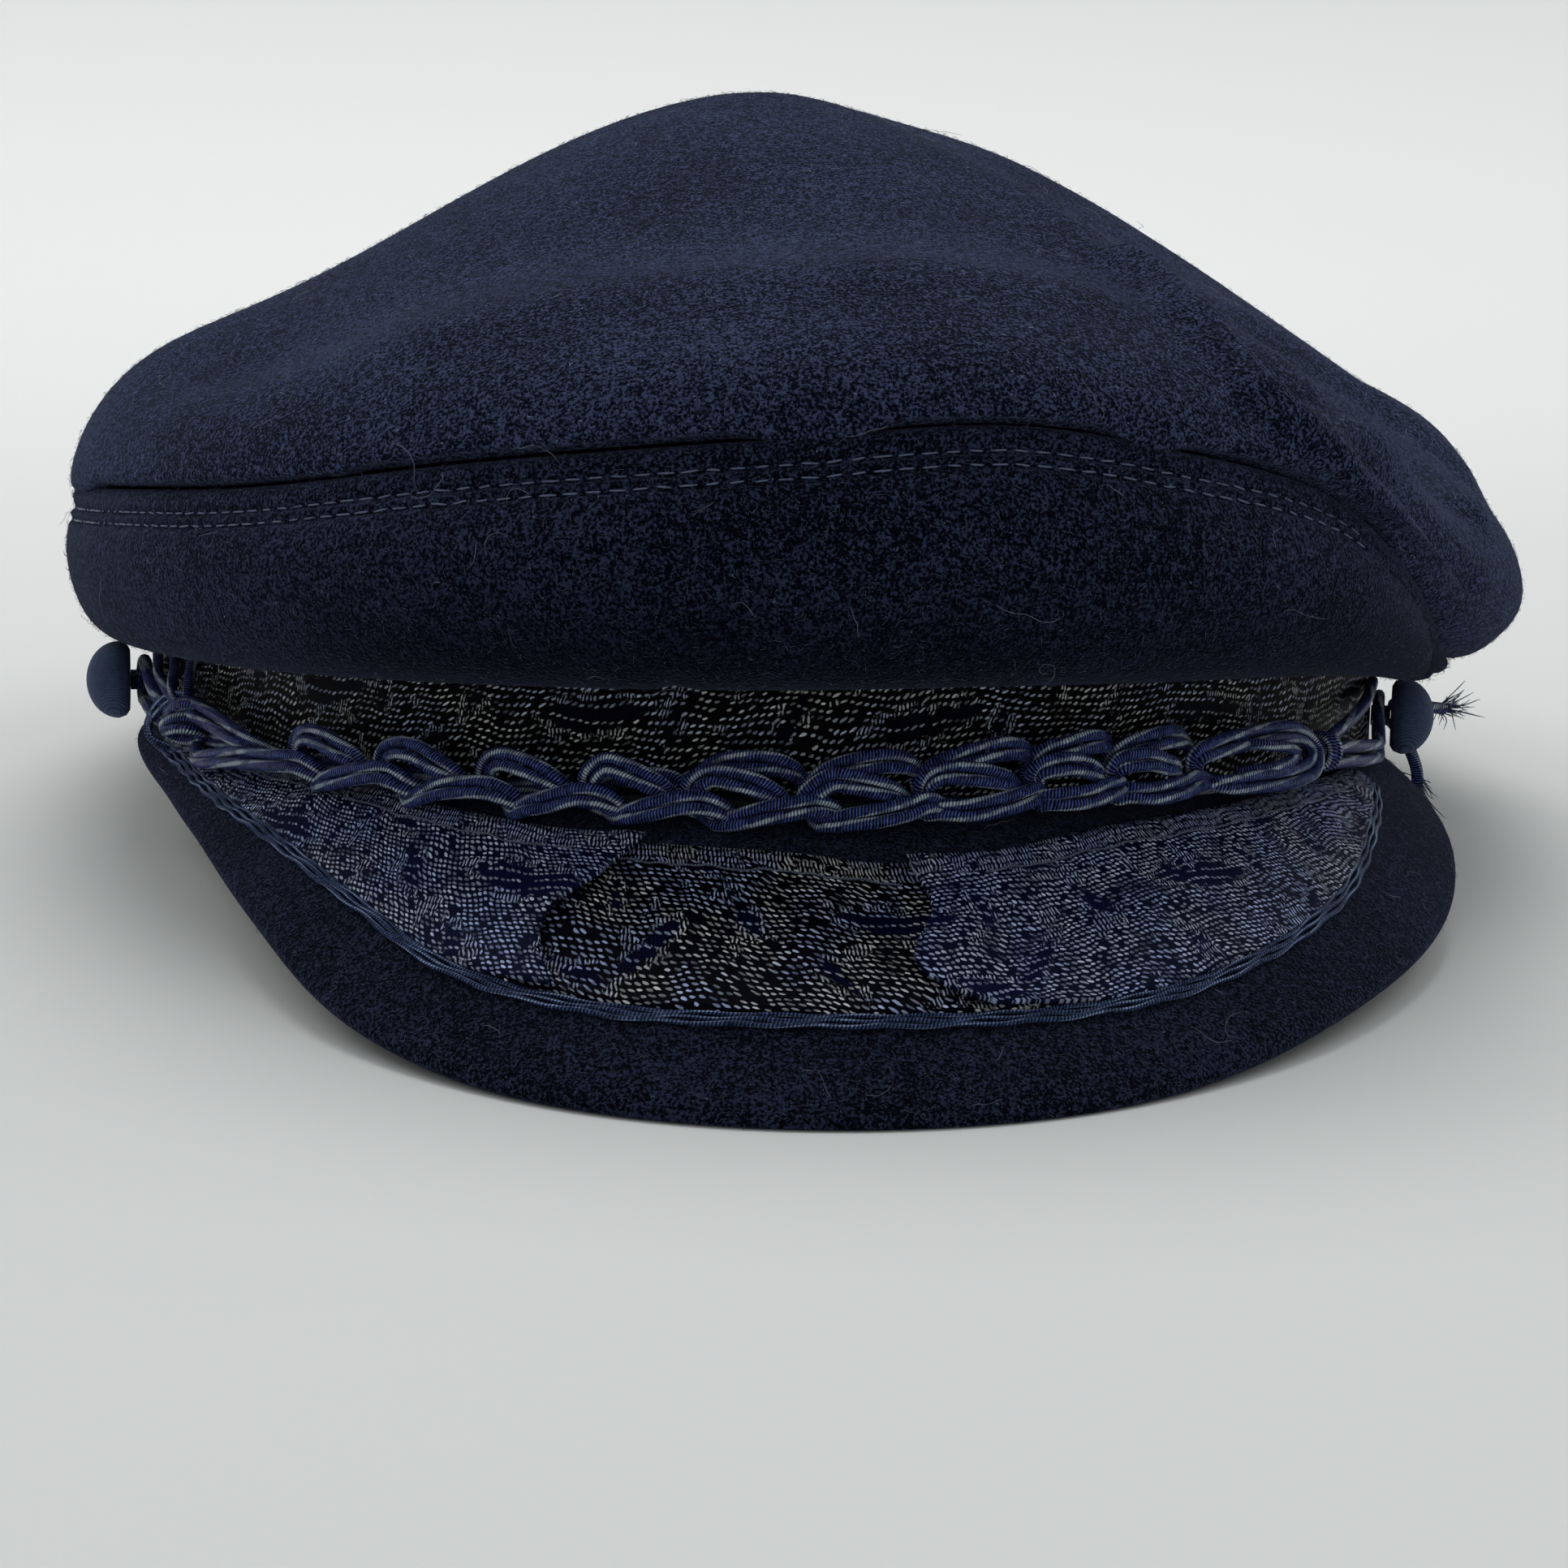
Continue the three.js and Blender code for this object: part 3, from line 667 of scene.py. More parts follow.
def smooth_path(points, spacing=0.5 * MM):
    """Even steps along a smooth curve through points."""
    points = np.array([tuple(p) for p in points], float)
    points = np.vstack([2 * points[0] - points[1], points, 2 * points[-1] - points[-2]])
    fine = []
    for a, b, c, d in zip(points, points[1:], points[2:], points[3:]):
        for t in np.linspace(0, 1, CURVE_STEPS, endpoint=False):
            fine.append(0.5 * (2 * b + (c - a) * t + (2 * a - 5 * b + 4 * c - d) * t**2
                               + (3 * b - a - 3 * c + d) * t**3))
    fine.append(points[-2])
    fine = np.array(fine)
    along = lengths_along(fine)
    even = np.linspace(0, along[-1], max(3, int(along[-1] / spacing) + 1))
    return np.stack([np.interp(even, along, fine[:, k]) for k in range(3)], axis=1)


# %% Sweeping a cord
def new_mesh(name, worn, faces, uv=None):
    """A piece from worn places and faces, with one UV pair for each face corner."""
    mesh = bpy.data.meshes.new(name)
    mesh.from_pydata(moved(worn, WORN).tolist(), [], faces)
    if uv is not None:
        layer = mesh.uv_layers.new(name="UVMap")
        layer.data.foreach_set("uv", np.asarray(uv, float).ravel())
    mesh.shade_smooth()
    piece = bpy.data.objects.new(name, mesh)
    bpy.context.collection.objects.link(piece)
    return piece


# how many steps at each end of a cord are narrowed
NARROWING = 3


def cords(name, paths, radius, sides=10, ends=1.0):
    """Round cords along worn paths, in one piece. `ends` narrows both ends of each."""
    worn, faces, uv = [], [], []
    for path in paths:
        count = len(path)
        along = lengths_along(path)
        tangents = np.gradient(path, axis=0)
        tangents /= np.linalg.norm(tangents, axis=1)[:, None]
        side = np.cross(tangents[0], (0.3, 0.2, 1.0))
        first = len(worn)
        for i in range(count):
            side = side - tangents[i] * side.dot(tangents[i])
            side /= np.linalg.norm(side)
            across = np.cross(tangents[i], side)
            edge = min(i, count - 1 - i) / NARROWING
            size = radius * (1 if edge >= 1 else ends + (1 - ends) * math.sqrt(edge))
            for j in range(sides):
                angle = 2 * math.pi * j / sides
                worn.append(path[i] + size * (side * math.cos(angle) + across * math.sin(angle)))
        for i in range(count - 1):
            for j in range(sides):
                a, b = first + i * sides + j, first + i * sides + (j + 1) % sides
                faces.append((a, b, b + sides, a + sides))
                low, high = along[i], along[i + 1]
                uv += [(low, j / sides), (low, (j + 1) / sides), (high, (j + 1) / sides), (high, j / sides)]
        for ring, end in ((range(sides - 1, -1, -1), first), (range(sides), first + (count - 1) * sides)):
            faces.append([end + j for j in ring])
            uv += [(0, j / sides) for j in ring]
    return new_mesh(name, worn, faces, uv)


# %% [markdown]
# Satin cord is twisted from shiny threads. Fine ribs wind round it, painted lighter on their ridges and
# darker in their grooves, partly as painted highlight and shade, and a bright streak winding along one
# ply is a painted highlight of the satin's shine. Both are drawn on the cord's UV map, in metres along
# and turns around.

# %% Satin cord
HIGHLIGHT_TWIST = 17 * MM


def satin(name, dark, light, painted_highlight, pitch, turns):
    """A twisted satin cord: ribs that wind round it, `turns` ribs to a turn, and a painted highlight along one
    ply.
    """
    finish = Finish(name, {"Roughness": 0.3, "Specular IOR Level": 0.09})
    along, around, _ = finish.split(finish.add("ShaderNodeTexCoord", out="UV"))
    place = finish.add("ShaderNodeTexCoord", out="Object")
    uneven = finish.noise(place, 1300, 2)
    rib = ((along / pitch + around * turns + uneven * 0.7) * math.tau).sine() * 0.5 + 0.5
    # painted highlight: a bright streak that winds along one ply, standing in for the satin's shine
    highlight_streak = abs((around * 2 + along / HIGHLIGHT_TWIST + uneven * 0.16).fraction() - 0.5).ramp(0.20, 0.08)
    broken = finish.noise(place, 420, 2).ramp(0.38, 0.58)
    # ribs lighter on their ridges and darker in their grooves, partly a painted highlight and shade
    color = finish.mix(rib * (uneven * 1.5 - 0.2) - 0.08, dark, light)
    color = finish.mix(highlight_streak * (rib * 0.85 + 0.15) * (broken * 0.7 + 0.3), color, painted_highlight)
    relief = finish.bump(rib * 1.2 + uneven * 0.5 + highlight_streak * 1.0, 0.00026, 1.0)
    return finish.wear(Base_Color=color, Normal=relief)


# the brightest colour of each satin finish is its painted highlight
satin_blue = satin(
    "satin_cord", dark=(0.0010, 0.0018, 0.014), light=(0.190, 0.270, 0.82), painted_highlight=(0.74, 0.87, 1.0),
    pitch=0.38 * MM, turns=2)
satin_pale = satin(
    "satin_piping", dark=(0.006, 0.011, 0.038), light=(0.17, 0.26, 0.55), painted_highlight=(0.48, 0.62, 1.0),
    pitch=0.45 * MM, turns=1)
print("satin finish has", len(satin_blue.node_tree.nodes), "nodes")

# %% [markdown]
# ## Jacquard ribbon
# A jacquard loom lifts each warp thread on its own, so the ribbon shows rows of short pale dashes on
# black. Leaves are drawn by leaving dashes out, so that long dark threads show, with upright dashes
# round their rims. The UV map runs in metres along the ribbon and across it. Dashes are staggered row
# by row, the rows wave with the cloth, and one cell of leaves repeats along the ribbon.

# %% Jacquard
# the cell's length along the ribbon, and where the middle of its leaves lies across, in millimetres
CELL, LEAF_MIDDLE = 43.0, 15.5
# middle along and across (mm), tilt (radians), half length and half width (mm)
LEAVES = (
    (-9.5, -3.0, 0.12, 8.0, 2.1), (6.0, 3.5, -0.75, 4.6, 1.2), (16.5, -2.5, 0.95, 3.8, 1.2),
    (-1.0, 6.5, 0.3, 4.5, 0.9), (-16.0, 5.0, 0.9, 3.4, 1.0), (10.0, -8.5, 0.2, 4.0, 0.8),
    (1.0, -3.0, 1.3, 2.8, 0.9),
)
# how far the dashes fade where a ribbon is painted in shade, and the upright dashes round its leaves (mm)
PAINTED_SHADE_SHARE = 0.88
UPRIGHT = {"pitch": 0.50, "row": 1.02, "size": (0.30, 0.44), "tilt": 0.8}


def leaf_shapes(near, across):
    """How far inside the nearest leaf a place is, in millimetres, below 0 outside."""
    leaves = None
    for x, y, angle, length, width in LEAVES:
        cos, sin = math.cos(angle), math.sin(angle)
        ahead = (near - x) * cos + (across - LEAF_MIDDLE - y) * sin
        aside = (across - LEAF_MIDDLE - y) * cos - (near - x) * sin
        inside = (1 - (ahead / length) ** 2) * width - abs(aside)
        leaves = inside if leaves is None else leaves.larger(inside)
    return leaves


def dash_rows(finish, along, across, pitch, row, size, tilt):
    """Rows of rounded dashes: 1 inside a dash, 0 between, and each dash's own luck."""
    line = (across / row).floor()
    run = along / pitch + line * 0.5
    cell = finish.add("ShaderNodeCombineXYZ", None, {0: run.floor(), 1: line})
    luck = finish.add("ShaderNodeTexWhiteNoise", None, {"Vector": cell})
    rough = finish.noise(finish.add("ShaderNodeTexCoord", out="UV"), 1900, 1) - 0.5
    u = run.fraction() - 0.5 + (luck - 0.5) * 0.3 + rough * 0.25
    v = (across / row).fraction() - 0.5 - u * tilt + (luck - 0.5) * 0.22 + rough * 0.35
    return ((u / size[0]) ** 2 + (v / size[1]) ** 2).ramp(1.15, 0.6), luck


def jacquard(name, ground, threads, leaf, row, dash, size, edge=0.0, painted_shade_across=(40, 41)):
    """A ribbon finish, in millimetres. Its selvedge is `edge` wide, and across the last pair of heights its
    dashes fade into painted shade.
    """
    finish = Finish(name, {"Roughness": 0.5, "Specular IOR Level": 0.03})
    uv = finish.add("ShaderNodeTexCoord", out="UV")
    true_along, true_across, _ = finish.split(uv)
    drift = finish.noise(uv, 170, 2)
    sway = finish.noise(uv, 62, 1)
    quiver = finish.noise(uv, 520, 1)
    along = true_along * TO_MM + drift * 2.2 + quiver * 0.7
    across = true_across * TO_MM + sway * 5.0 + drift * 1.6 + quiver * 0.55
    seeds, luck = dash_rows(finish, along, across, dash, row, size, 0.35)
    strokes, _ = dash_rows(finish, along, across, *UPRIGHT.values())
    near = (along / CELL).fraction() * CELL - CELL / 2
    ragged = leaf_shapes(near, across) + (drift - 0.5) * 2.4 + (luck - 0.5) * 0.7
    in_leaf = ragged.ramp(0.0, 0.35)
    vein = (across / (row * 2)).fraction().ramp(0.53, 0.47)
    rim = ragged.ramp(-1.0, -0.55) * (1 - ragged.ramp(-0.05, 0.1))
    rim = rim * finish.noise(uv, 300, 1).ramp(0.48, 0.56)
    patch = finish.noise(uv, 240, 1, Distortion=0.6).ramp(0.66, 0.69)
    upright = rim.larger(patch)
    if edge:
        selvedge = (true_across * TO_MM).ramp(edge, edge - 0.3) * finish.noise(uv, 420, 1).ramp(0.40, 0.52)
        upright = upright.larger(selvedge)
    worn_off = finish.noise(uv, 260, 2, Roughness=0.7).ramp(0.34, 0.52) * 0.75 + 0.25
    # painted shade: the dashes fade across the given range, darkening the band's upper part under the crown
    unshaded = 1 - (true_across * TO_MM).ramp(*painted_shade_across) * PAINTED_SHADE_SHARE
    plain = seeds * unshaded * (luck * 0.8 + 0.2) * (luck > 0.08) * worn_off
    plain = plain * (1 - in_leaf * (1 - vein * 0.8))
    weave = plain * (1 - upright) + strokes * unshaded * upright * (luck * 0.5 + 0.35)
    floats = abs((along * 2.6 + drift).fraction() - 0.5).ramp(0.1, 0.4)
    base = finish.mix(in_leaf, ground, finish.mix(floats, tuple(0.35 * c for c in leaf), leaf))
    thread = finish.mix(finish.noise(uv, 110, 1).ramp(0.4, 0.6), *threads)
    color = finish.mix(weave, base, thread)
    relief = finish.bump(weave + in_leaf * floats * 0.3 + drift * 0.6, 0.00035, 1.0)
    return finish.wear(Base_Color=color, Normal=relief)


# the band's dashes fade from 13 mm up, as painted shade under the crown's hem
jacquard_band = jacquard(
    "jacquard_band", ground=(0.0008, 0.0008, 0.0020), threads=((0.76, 0.78, 0.76), (0.54, 0.61, 0.84)),
    leaf=(0.0015, 0.002, 0.008), row=0.96, dash=1.0, size=(0.40, 0.19), painted_shade_across=(13.0, 17.5))
jacquard_black = jacquard(
    "jacquard_black", ground=(0.0010, 0.0011, 0.0040), threads=((0.82, 0.84, 0.82), (0.52, 0.62, 0.96)),
    leaf=(0.002, 0.003, 0.028), row=0.76, dash=0.98, size=(0.42, 0.23), edge=3.0)
# painted glint: the same ribbon as the middle length, with a bluer ground and denser, brighter dashes for the
# light its weave catches at the sides
jacquard_painted_glint = jacquard(
    "jacquard_painted_glint", ground=(0.0030, 0.0050, 0.022), threads=((0.52, 0.62, 1.00), (0.66, 0.72, 0.90)),
    leaf=(0.005, 0.008, 0.050), row=0.62, dash=0.80, size=(0.44, 0.29), edge=3.0)
print("jacquard finish has", len(jacquard_band.node_tree.nodes), "nodes")

# %% [markdown]
# The band's ribbon is a tube round the headband: a cylinder with open ends, stretched to the band's
# oval, filled out at the temples and given a thickness.

# %% Ribbon round the band
RIBBON_LOW, RIBBON_HIGH, RIBBON_OUT = 1.3 * MM, 26.6 * MM, 1.1 * MM
bpy.ops.object.select_all(action="DESELECT")
bpy.ops.mesh.primitive_cylinder_add(vertices=240, radius=1, depth=1, end_fill_type="NOTHING")
band_ribbon = bpy.context.object
band_ribbon.name = band_ribbon.data.name = "ribbon_on_band"
tall = RIBBON_HIGH - RIBBON_LOW
for loop in band_ribbon.data.loops:
    place = band_ribbon.data.vertices[loop.vertex_index].co
    pair = band_ribbon.data.uv_layers[0].data[loop.index].uv
    pair.x *= math.pi * (BAND_WIDE + BAND_LONG)
    pair.y = (place.z + 0.5) * tall
stretch = Matrix.Diagonal((BAND_WIDE + RIBBON_OUT, BAND_LONG + RIBBON_OUT, tall, 1))
middle = Matrix.Translation((0, 0, (RIBBON_LOW + RIBBON_HIGH) / 2))
band_ribbon.data.transform(middle @ stretch)
for vertex in band_ribbon.data.vertices:
    azimuth = math.degrees(math.atan2(vertex.co.x, -vertex.co.y))
    grown = (band_radius(azimuth) + RIBBON_OUT) / vertex.co.xy.length
    vertex.co.x *= grown
    vertex.co.y *= grown
band_ribbon.data.transform(WORN)
band_ribbon.matrix_world = Matrix.Identity(4)
alone(band_ribbon)
wall = band_ribbon.modifiers.new("wall", "SOLIDIFY")
wall.thickness, wall.offset = 0.8 * MM, -1
bpy.ops.object.modifier_apply(modifier=wall.name)
bpy.ops.object.shade_smooth_by_angle(angle=math.radians(40))
finish_piece(band_ribbon, jacquard_band, "jacquard", "band_ribbon")

# %% [markdown]
# The visor's ribbon is too wide to bend round the visor flat, so it is folded over itself in two
# places and lies as three lengths. The outer lengths lie over the middle one, and each has a UV map
# in metres. The outer lengths are the same ribbon as the middle, painted bluer and brighter as a
# painted glint of light on its weave.

# %% Ribbon on the visor
# azimuth in degrees, and how far beyond the band the ribbon's inner and outer edge lie (mm)
RIBBON_EDGE = (
    (-66, 1.0, 2.8), (-57, 1.5, 5.6), (-49, 1.8, 7.8), (-36, 2.8, 13.2), (-26, 5.2, 20.3),
    (-19, 7.0, 26.6), (-10, 9.0, 31.1), (0, 10.1, 31.9), (5, 11.4, 31.8), (13, 9.4, 30.7),
    (20, 6.6, 28.4), (30, 4.8, 23.2), (38, 3.4, 17.9), (46, 2.4, 11.8), (54, 1.8, 6.8), (58, 1.6, 4.4),
)
ribbon_inner = curve([(a, inner * MM) for a, inner, _ in RIBBON_EDGE])
ribbon_outer = curve([(a, outer * MM) for a, _, outer in RIBBON_EDGE])
# each fold's azimuth, by the share of the way across the ribbon
FOLD_LEFT = curve([(0, -9.5), (0.3, -11.6), (0.6, -13.9), (0.8, -13.6), (1, -12.2)])
FOLD_RIGHT = curve([(0, 6.3), (0.35, 7.3), (0.78, 6.1), (0.9, 7.4), (1, 9.5)])
# its thickness, the faces across it, how far its middle lies beyond the band, and how many degrees
# its lengths overlap at a fold
THIN, ACROSS, RIBBON_MIDDLE, OVERLAP = 0.55 * MM, 24, 18 * MM, 3


def ribbon_length(name, start, end, columns, lift, material):
    """One length of the ribbon between two lines across it, each an azimuth by the share across."""
    worn, faces, uv = [], [], []
    for j in range(ACROSS + 1):
        share = j / ACROSS
        for i in range(columns + 1):
            azimuth = float(start(share) + (end(share) - start(share)) * i / columns)
            inner, outer = float(ribbon_inner(azimuth)), float(ribbon_outer(azimuth))
            reach = inner + (outer - inner) * share
            worn.append(visor_place(azimuth, reach, lift(azimuth, share)))
            uv.append((math.radians(azimuth) * (band_radius(0) + RIBBON_MIDDLE), reach - inner))
    for j in range(ACROSS):
        for i in range(columns):
            a = j * (columns + 1) + i
            faces.append((a, a + columns + 1, a + columns + 2, a + 1))
    piece = new_mesh(name, worn, faces, [uv[corner] for face in faces for corner in face])
    alone(piece)
    wall = piece.modifiers.new("wall", "SOLIDIFY")
    wall.thickness, wall.offset = THIN, 1
    bpy.ops.object.modifier_apply(modifier=wall.name)
    finish_piece(piece, material, "jacquard")
    return piece


# how far beside a fold a length is raised, in degrees, and how uneven sewn things lie
FOLD_SPREAD, UNEVEN = 4.0, 0.12 * MM


def draped(base, fold=None, near=0.0):
    """Lift over the cloth, raised towards a fold line and gently uneven."""
    def lift(azimuth, share):
        uneven = UNEVEN * math.sin(azimuth * 0.55 + 5 * share) * math.sin(share * math.pi)
        over = 0 if fold is None else near * fade(azimuth - float(fold(share)), FOLD_SPREAD)
        return base + over + uneven
    return lift


PIPED = (-66, 58)
middle_ribbon = ribbon_length(
    "ribbon_on_visor_middle", lambda share: FOLD_LEFT(share) - OVERLAP,
    lambda share: FOLD_RIGHT(share) + OVERLAP, 60, draped(0.35 * MM), jacquard_black)
ribbon_length(
    "ribbon_on_visor_left", lambda share: PIPED[0], FOLD_LEFT, 90,
    draped(0.5 * MM, FOLD_LEFT, 1.5 * MM), jacquard_painted_glint)
ribbon_length(
    "ribbon_on_visor_right", FOLD_RIGHT, lambda share: PIPED[1], 90,
    draped(0.5 * MM, FOLD_RIGHT, 1.3 * MM), jacquard_painted_glint)
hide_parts("visor_ribbon")

# %% [markdown]
# Three thin cords are sewn side by side along the ribbon's outer edge.

# %% Piping
PIPING_RADIUS = 0.31 * MM


def piping_path(beyond, phase):
    """A cord's path along the ribbon's outer edge, a distance beyond it."""
    places = []
    for azimuth in np.linspace(*PIPED, 150):
        uneven = UNEVEN * math.sin(azimuth * 1.7 + phase)
        reach = float(ribbon_outer(azimuth)) + beyond + uneven
        places.append(visor_place(float(azimuth), reach, PIPING_RADIUS + 0.25 * MM))
    return smooth_path(places, 0.6 * MM)


strands = [piping_path(beside * MM, beside * 3) for beside in (0.15, 0.75, 1.35)]
piping = cords("piping", strands, PIPING_RADIUS, 7)
finish_piece(piping, satin_pale, "satin_cord", "visor_piping")

# %% [markdown]
# One line of stitches holds the ribbon's inner edge to the visor, 3 mm in. Its thread sinks where the
# needle went through and bows up between.

# %% Ribbon stitching
# the last value is in degrees
SEWN = {"inset": 3.1 * MM, "length": 3.0 * MM, "radius": 0.14 * MM, "bow": 0.22 * MM, "sway": 0.15 * MM,
        "step": 0.4}


def stitching_path(start, end, lift):
    """The thread's path between two azimuths, down at each needle hole and up between."""
    places = []
    azimuth = start
    while azimuth < end:
        reach = float(ribbon_inner(azimuth)) + SEWN["inset"]
        step = math.radians(azimuth) * (band_radius(azimuth) + reach) / SEWN["length"]
        bow = SEWN["bow"] * abs(math.sin(math.pi * step)) + UNEVEN * math.sin(azimuth * 2.1)
        reach += SEWN["sway"] * math.sin(azimuth * 1.3)
        places.append(visor_place(azimuth, reach, lift(azimuth, 0.15) + THIN + bow))
        azimuth += SEWN["step"]
    return smooth_path(places)


stitched = [
    stitching_path(-52, -12.2, draped(0.5 * MM, FOLD_LEFT, 1.0 * MM)),
    stitching_path(-11.6, 6.4, draped(0.35 * MM)),
    stitching_path(7.0, 50, draped(0.5 * MM, FOLD_RIGHT, 0.8 * MM)),
]
ribbon_stitching = cords("ribbon_stitching", stitched, SEWN["radius"], 6)
pale_thread = satin(
    "pale_thread", dark=(0.09, 0.11, 0.17), light=(0.30, 0.35, 0.48), painted_highlight=(0.42, 0.46, 0.58),
    pitch=0.4 * MM, turns=1)
finish_piece(ribbon_stitching, pale_thread, "satin_cord")

# %% [markdown]
# ## The chain plait
# A doubled cord is looped through itself like a crochet chain. Each link is one long loop: its upper
# legs hook out of the hole behind the link before, and dive into the next hole, and its lower legs run
# under the next link's hook. Between links the cords pass behind, and show over the top edge where the
# plait is twisted a little. A link is four lists of places: along in links, across and out in
# millimetres, the direction in which the two cords lie apart, in degrees, and how far apart, in cords.

# %% Links of the plait
CORD = 0.74 * MM
# the azimuths of the hooks, in degrees
HOOKS = (-60.5, -39, -30, -21.4, -13.8, -7, 0.5, 8, 15.8, 22, 29, 43.4, 50)
PLAIT = {"from": HOOKS[0], "lean": math.radians(26), "stand": 5.6 * MM}
PLAIT_HEIGHT = curve([
    (-67, 3.6 * MM), (-50, 3.1 * MM), (-30, 2.6 * MM), (-12, 2.1 * MM), (0, 1.9 * MM), (10, 3.1 * MM),
    (20, 4.3 * MM), (30, 4.6 * MM), (44, 4.6 * MM),
])
UPPER_LEGS = (
    (0.05, -1.3, -1.2, 200, 0.6), (-0.02, -0.3, 0.5, 180, 0.9), (0.03, 1.0, 1.5, 140, 1.0),
    (0.16, 1.7, 2.0, 104, 1.0), (0.34, 1.4, 2.1, 76, 1.0), (0.54, 0.4, 1.8, 64, 1.0),
    (0.70, -0.5, 1.0, 66, 0.8), (0.82, -1.2, -0.8, 70, 0.5),
)
LOWER_LEGS = (
    (0.15, -2.5, -1.8, 90, 0.4), (0.28, -4.0, -0.6, 90, 0.5), (0.45, -3.7, 0.8, 92, 0.8),
    (0.65, -3.0, 1.6, 94, 1.0), (0.90, -2.3, 2.0, 92, 1.0), (1.10, -2.1, 1.7, 86, 1.0),
    (1.27, -2.6, 0.6, 80, 0.8), (1.36, -3.0, -0.9, 90, 0.5),
)
HEAD = ((1.30, -2.4, -2.2, 90, 0.4), (1.10, -1.7, -2.4, 80, 0.4), (0.93, -1.4, -1.9, 70, 0.4))
BEHIND = (
    (0.10, -0.6, -2.4, 120, 0.5), (0.35, -0.5, -2.5, 90, 0.5), (0.60, -0.5, -2.5, 90, 0.5),
    (0.85, -0.8, -2.5, 90, 0.5), (1.00, -1.5, -2.4, 90, 0.5),
)
OVER_TOP = (
    (0.03, 1.6, -1.6, 120, 0.6), (0.20, 3.5, -0.7, 96, 0.8), (0.50, 4.0, 0.1, 88, 1.0),
    (0.76, 3.3, -0.3, 80, 0.9), (0.92, 1.2, -1.8, 80, 0.5),
)
# the same lists for the right half, where the plait is twisted to face forwards
RIGHT_UPPER_LEGS = (
    (0.05, -1.0, -1.2, 200, 0.6), (0.02, -0.2, 0.4, 170, 0.9), (0.09, 0.5, 1.2, 130, 1.0),
    (0.24, 0.8, 1.7, 98, 1.0), (0.42, 0.5, 1.8, 78, 1.0), (0.60, -0.1, 1.5, 72, 0.9),
    (0.76, -0.5, 0.6, 78, 0.7), (0.86, -0.7, -1.0, 80, 0.4),
)
RIGHT_LOWER_LEGS = (
    (0.02, -2.3, -1.4, 90, 0.5), (0.16, -3.2, 0.2, 92, 0.8), (0.38, -3.8, 1.0, 95, 1.0),
    (0.62, -3.6, 1.3, 98, 1.0), (0.84, -3.0, 1.1, 98, 1.0), (1.00, -2.5, 0.5, 94, 0.9),
    (1.10, -2.2, -0.6, 90, 0.7), (1.16, -2.0, -1.6, 90, 0.5),
)
RIGHT_OVER_TOP = (
    (0.00, 1.0, -1.6, 120, 0.6), (0.14, 2.2, 0.2, 104, 0.9), (0.42, 3.1, 1.2, 98, 1.0),
    (0.80, 3.6, 1.0, 94, 1.0), (1.06, 3.0, -1.2, 90, 0.6),
)
LAST_LOOP = (
    (0.10, -1.8, -1.6, 60, 0.4), (0.20, -3.0, 0.0, -70, 0.7), (0.42, -3.3, 1.0, -86, 1.0),
    (0.72, -3.1, 1.2, -84, 1.0), (0.90, -2.2, 1.2, -50, 1.0), (0.98, 0.0, 1.1, 0, 1.0),
    (0.90, 2.1, 1.2, 50, 1.0), (0.72, 2.9, 1.2, 82, 1.0), (0.42, 2.5, 1.2, 96, 1.0),
    (0.16, 1.6, 1.4, 110, 1.0), (0.02, 0.6, 1.0, 150, 0.9), (0.03, -1.0, -0.8, 190, 0.6),
)
# over which links the plait twists, and the cords between links come to show over its top edge
TWIST, SHOW = (4, 7), (3, 5)


# %% Cords through the links
def plait_azimuth(link, share):
    """The azimuth at a share of a link. Past the link's end the next link's length counts."""
    if share > 1:
        link, share = link + 1, share - 1
    return HOOKS[link] + (HOOKS[link + 1] - HOOKS[link]) * share


def plait_place(azimuth, across, out):
    """A worn place across the plait and out of it, in metres from its middle."""
    outward = np.array(tuple(at(azimuth, 1, 0)))
    lean = PLAIT["lean"]
    wide = np.array((0, 0, 1)) * math.cos(lean) - outward * math.sin(lean)
    face = outward * math.cos(lean) + np.array((0, 0, 1)) * math.sin(lean)
    height = float(PLAIT_HEIGHT(azimuth))
    middle = np.array(tuple(at(azimuth, band_radius(azimuth) + PLAIT["stand"], height)))
    return middle + wide * across + face * out


def turned(left, right, share):
    """Places between those of the left half and of the right half."""
    return [tuple(a + (b - a) * share for a, b in zip(*pair)) for pair in zip(left, right)]


def share_of(link, stretch):
    """How far a link is through a stretch of links, from 0 to 1."""
    return min(1.0, max(0.0, (link - stretch[0]) / (stretch[1] - stretch[0])))


def link_places(link, draw):
    """One link's places, in the order in which the cords pass them."""
    if link == len(HOOKS) - 3:
        return LAST_LOOP
    twist = share_of(link, TWIST)
    lower = turned(LOWER_LEGS, RIGHT_LOWER_LEGS, twist)
    upper = turned(UPPER_LEGS, RIGHT_UPPER_LEGS, twist)
    between = turned(BEHIND, turned(OVER_TOP, RIGHT_OVER_TOP, twist), share_of(link, SHOW))
    places = [*lower, *HEAD, *reversed(upper), *between]
    uneven = draw.normal(size=2) * (0.18, 0.12)
    return [(along, across + uneven[0] + draw.normal() * 0.12, out + uneven[1], turn, apart)
            for along, across, out, turn, apart in places]


def plait_cords():
    """The worn paths of the two cords."""
    draw = np.random.default_rng(8)
    paths = ([], [])
    for link in range(len(HOOKS) - 2):
        for share, across, out, turn, apart in link_places(link, draw):
            azimuth = plait_azimuth(link, share)
            radius = band_radius(azimuth) + PLAIT["stand"]
            for path, side in zip(paths, (-1, 1)):
                spread = side * apart * CORD * 1.1
                beside = math.degrees(spread * math.cos(math.radians(turn)) / radius)
                above = across * MM + spread * math.sin(math.radians(turn))
                path.append(plait_place(azimuth + beside, above, out * MM))
    return [smooth_path(path) for path in paths]


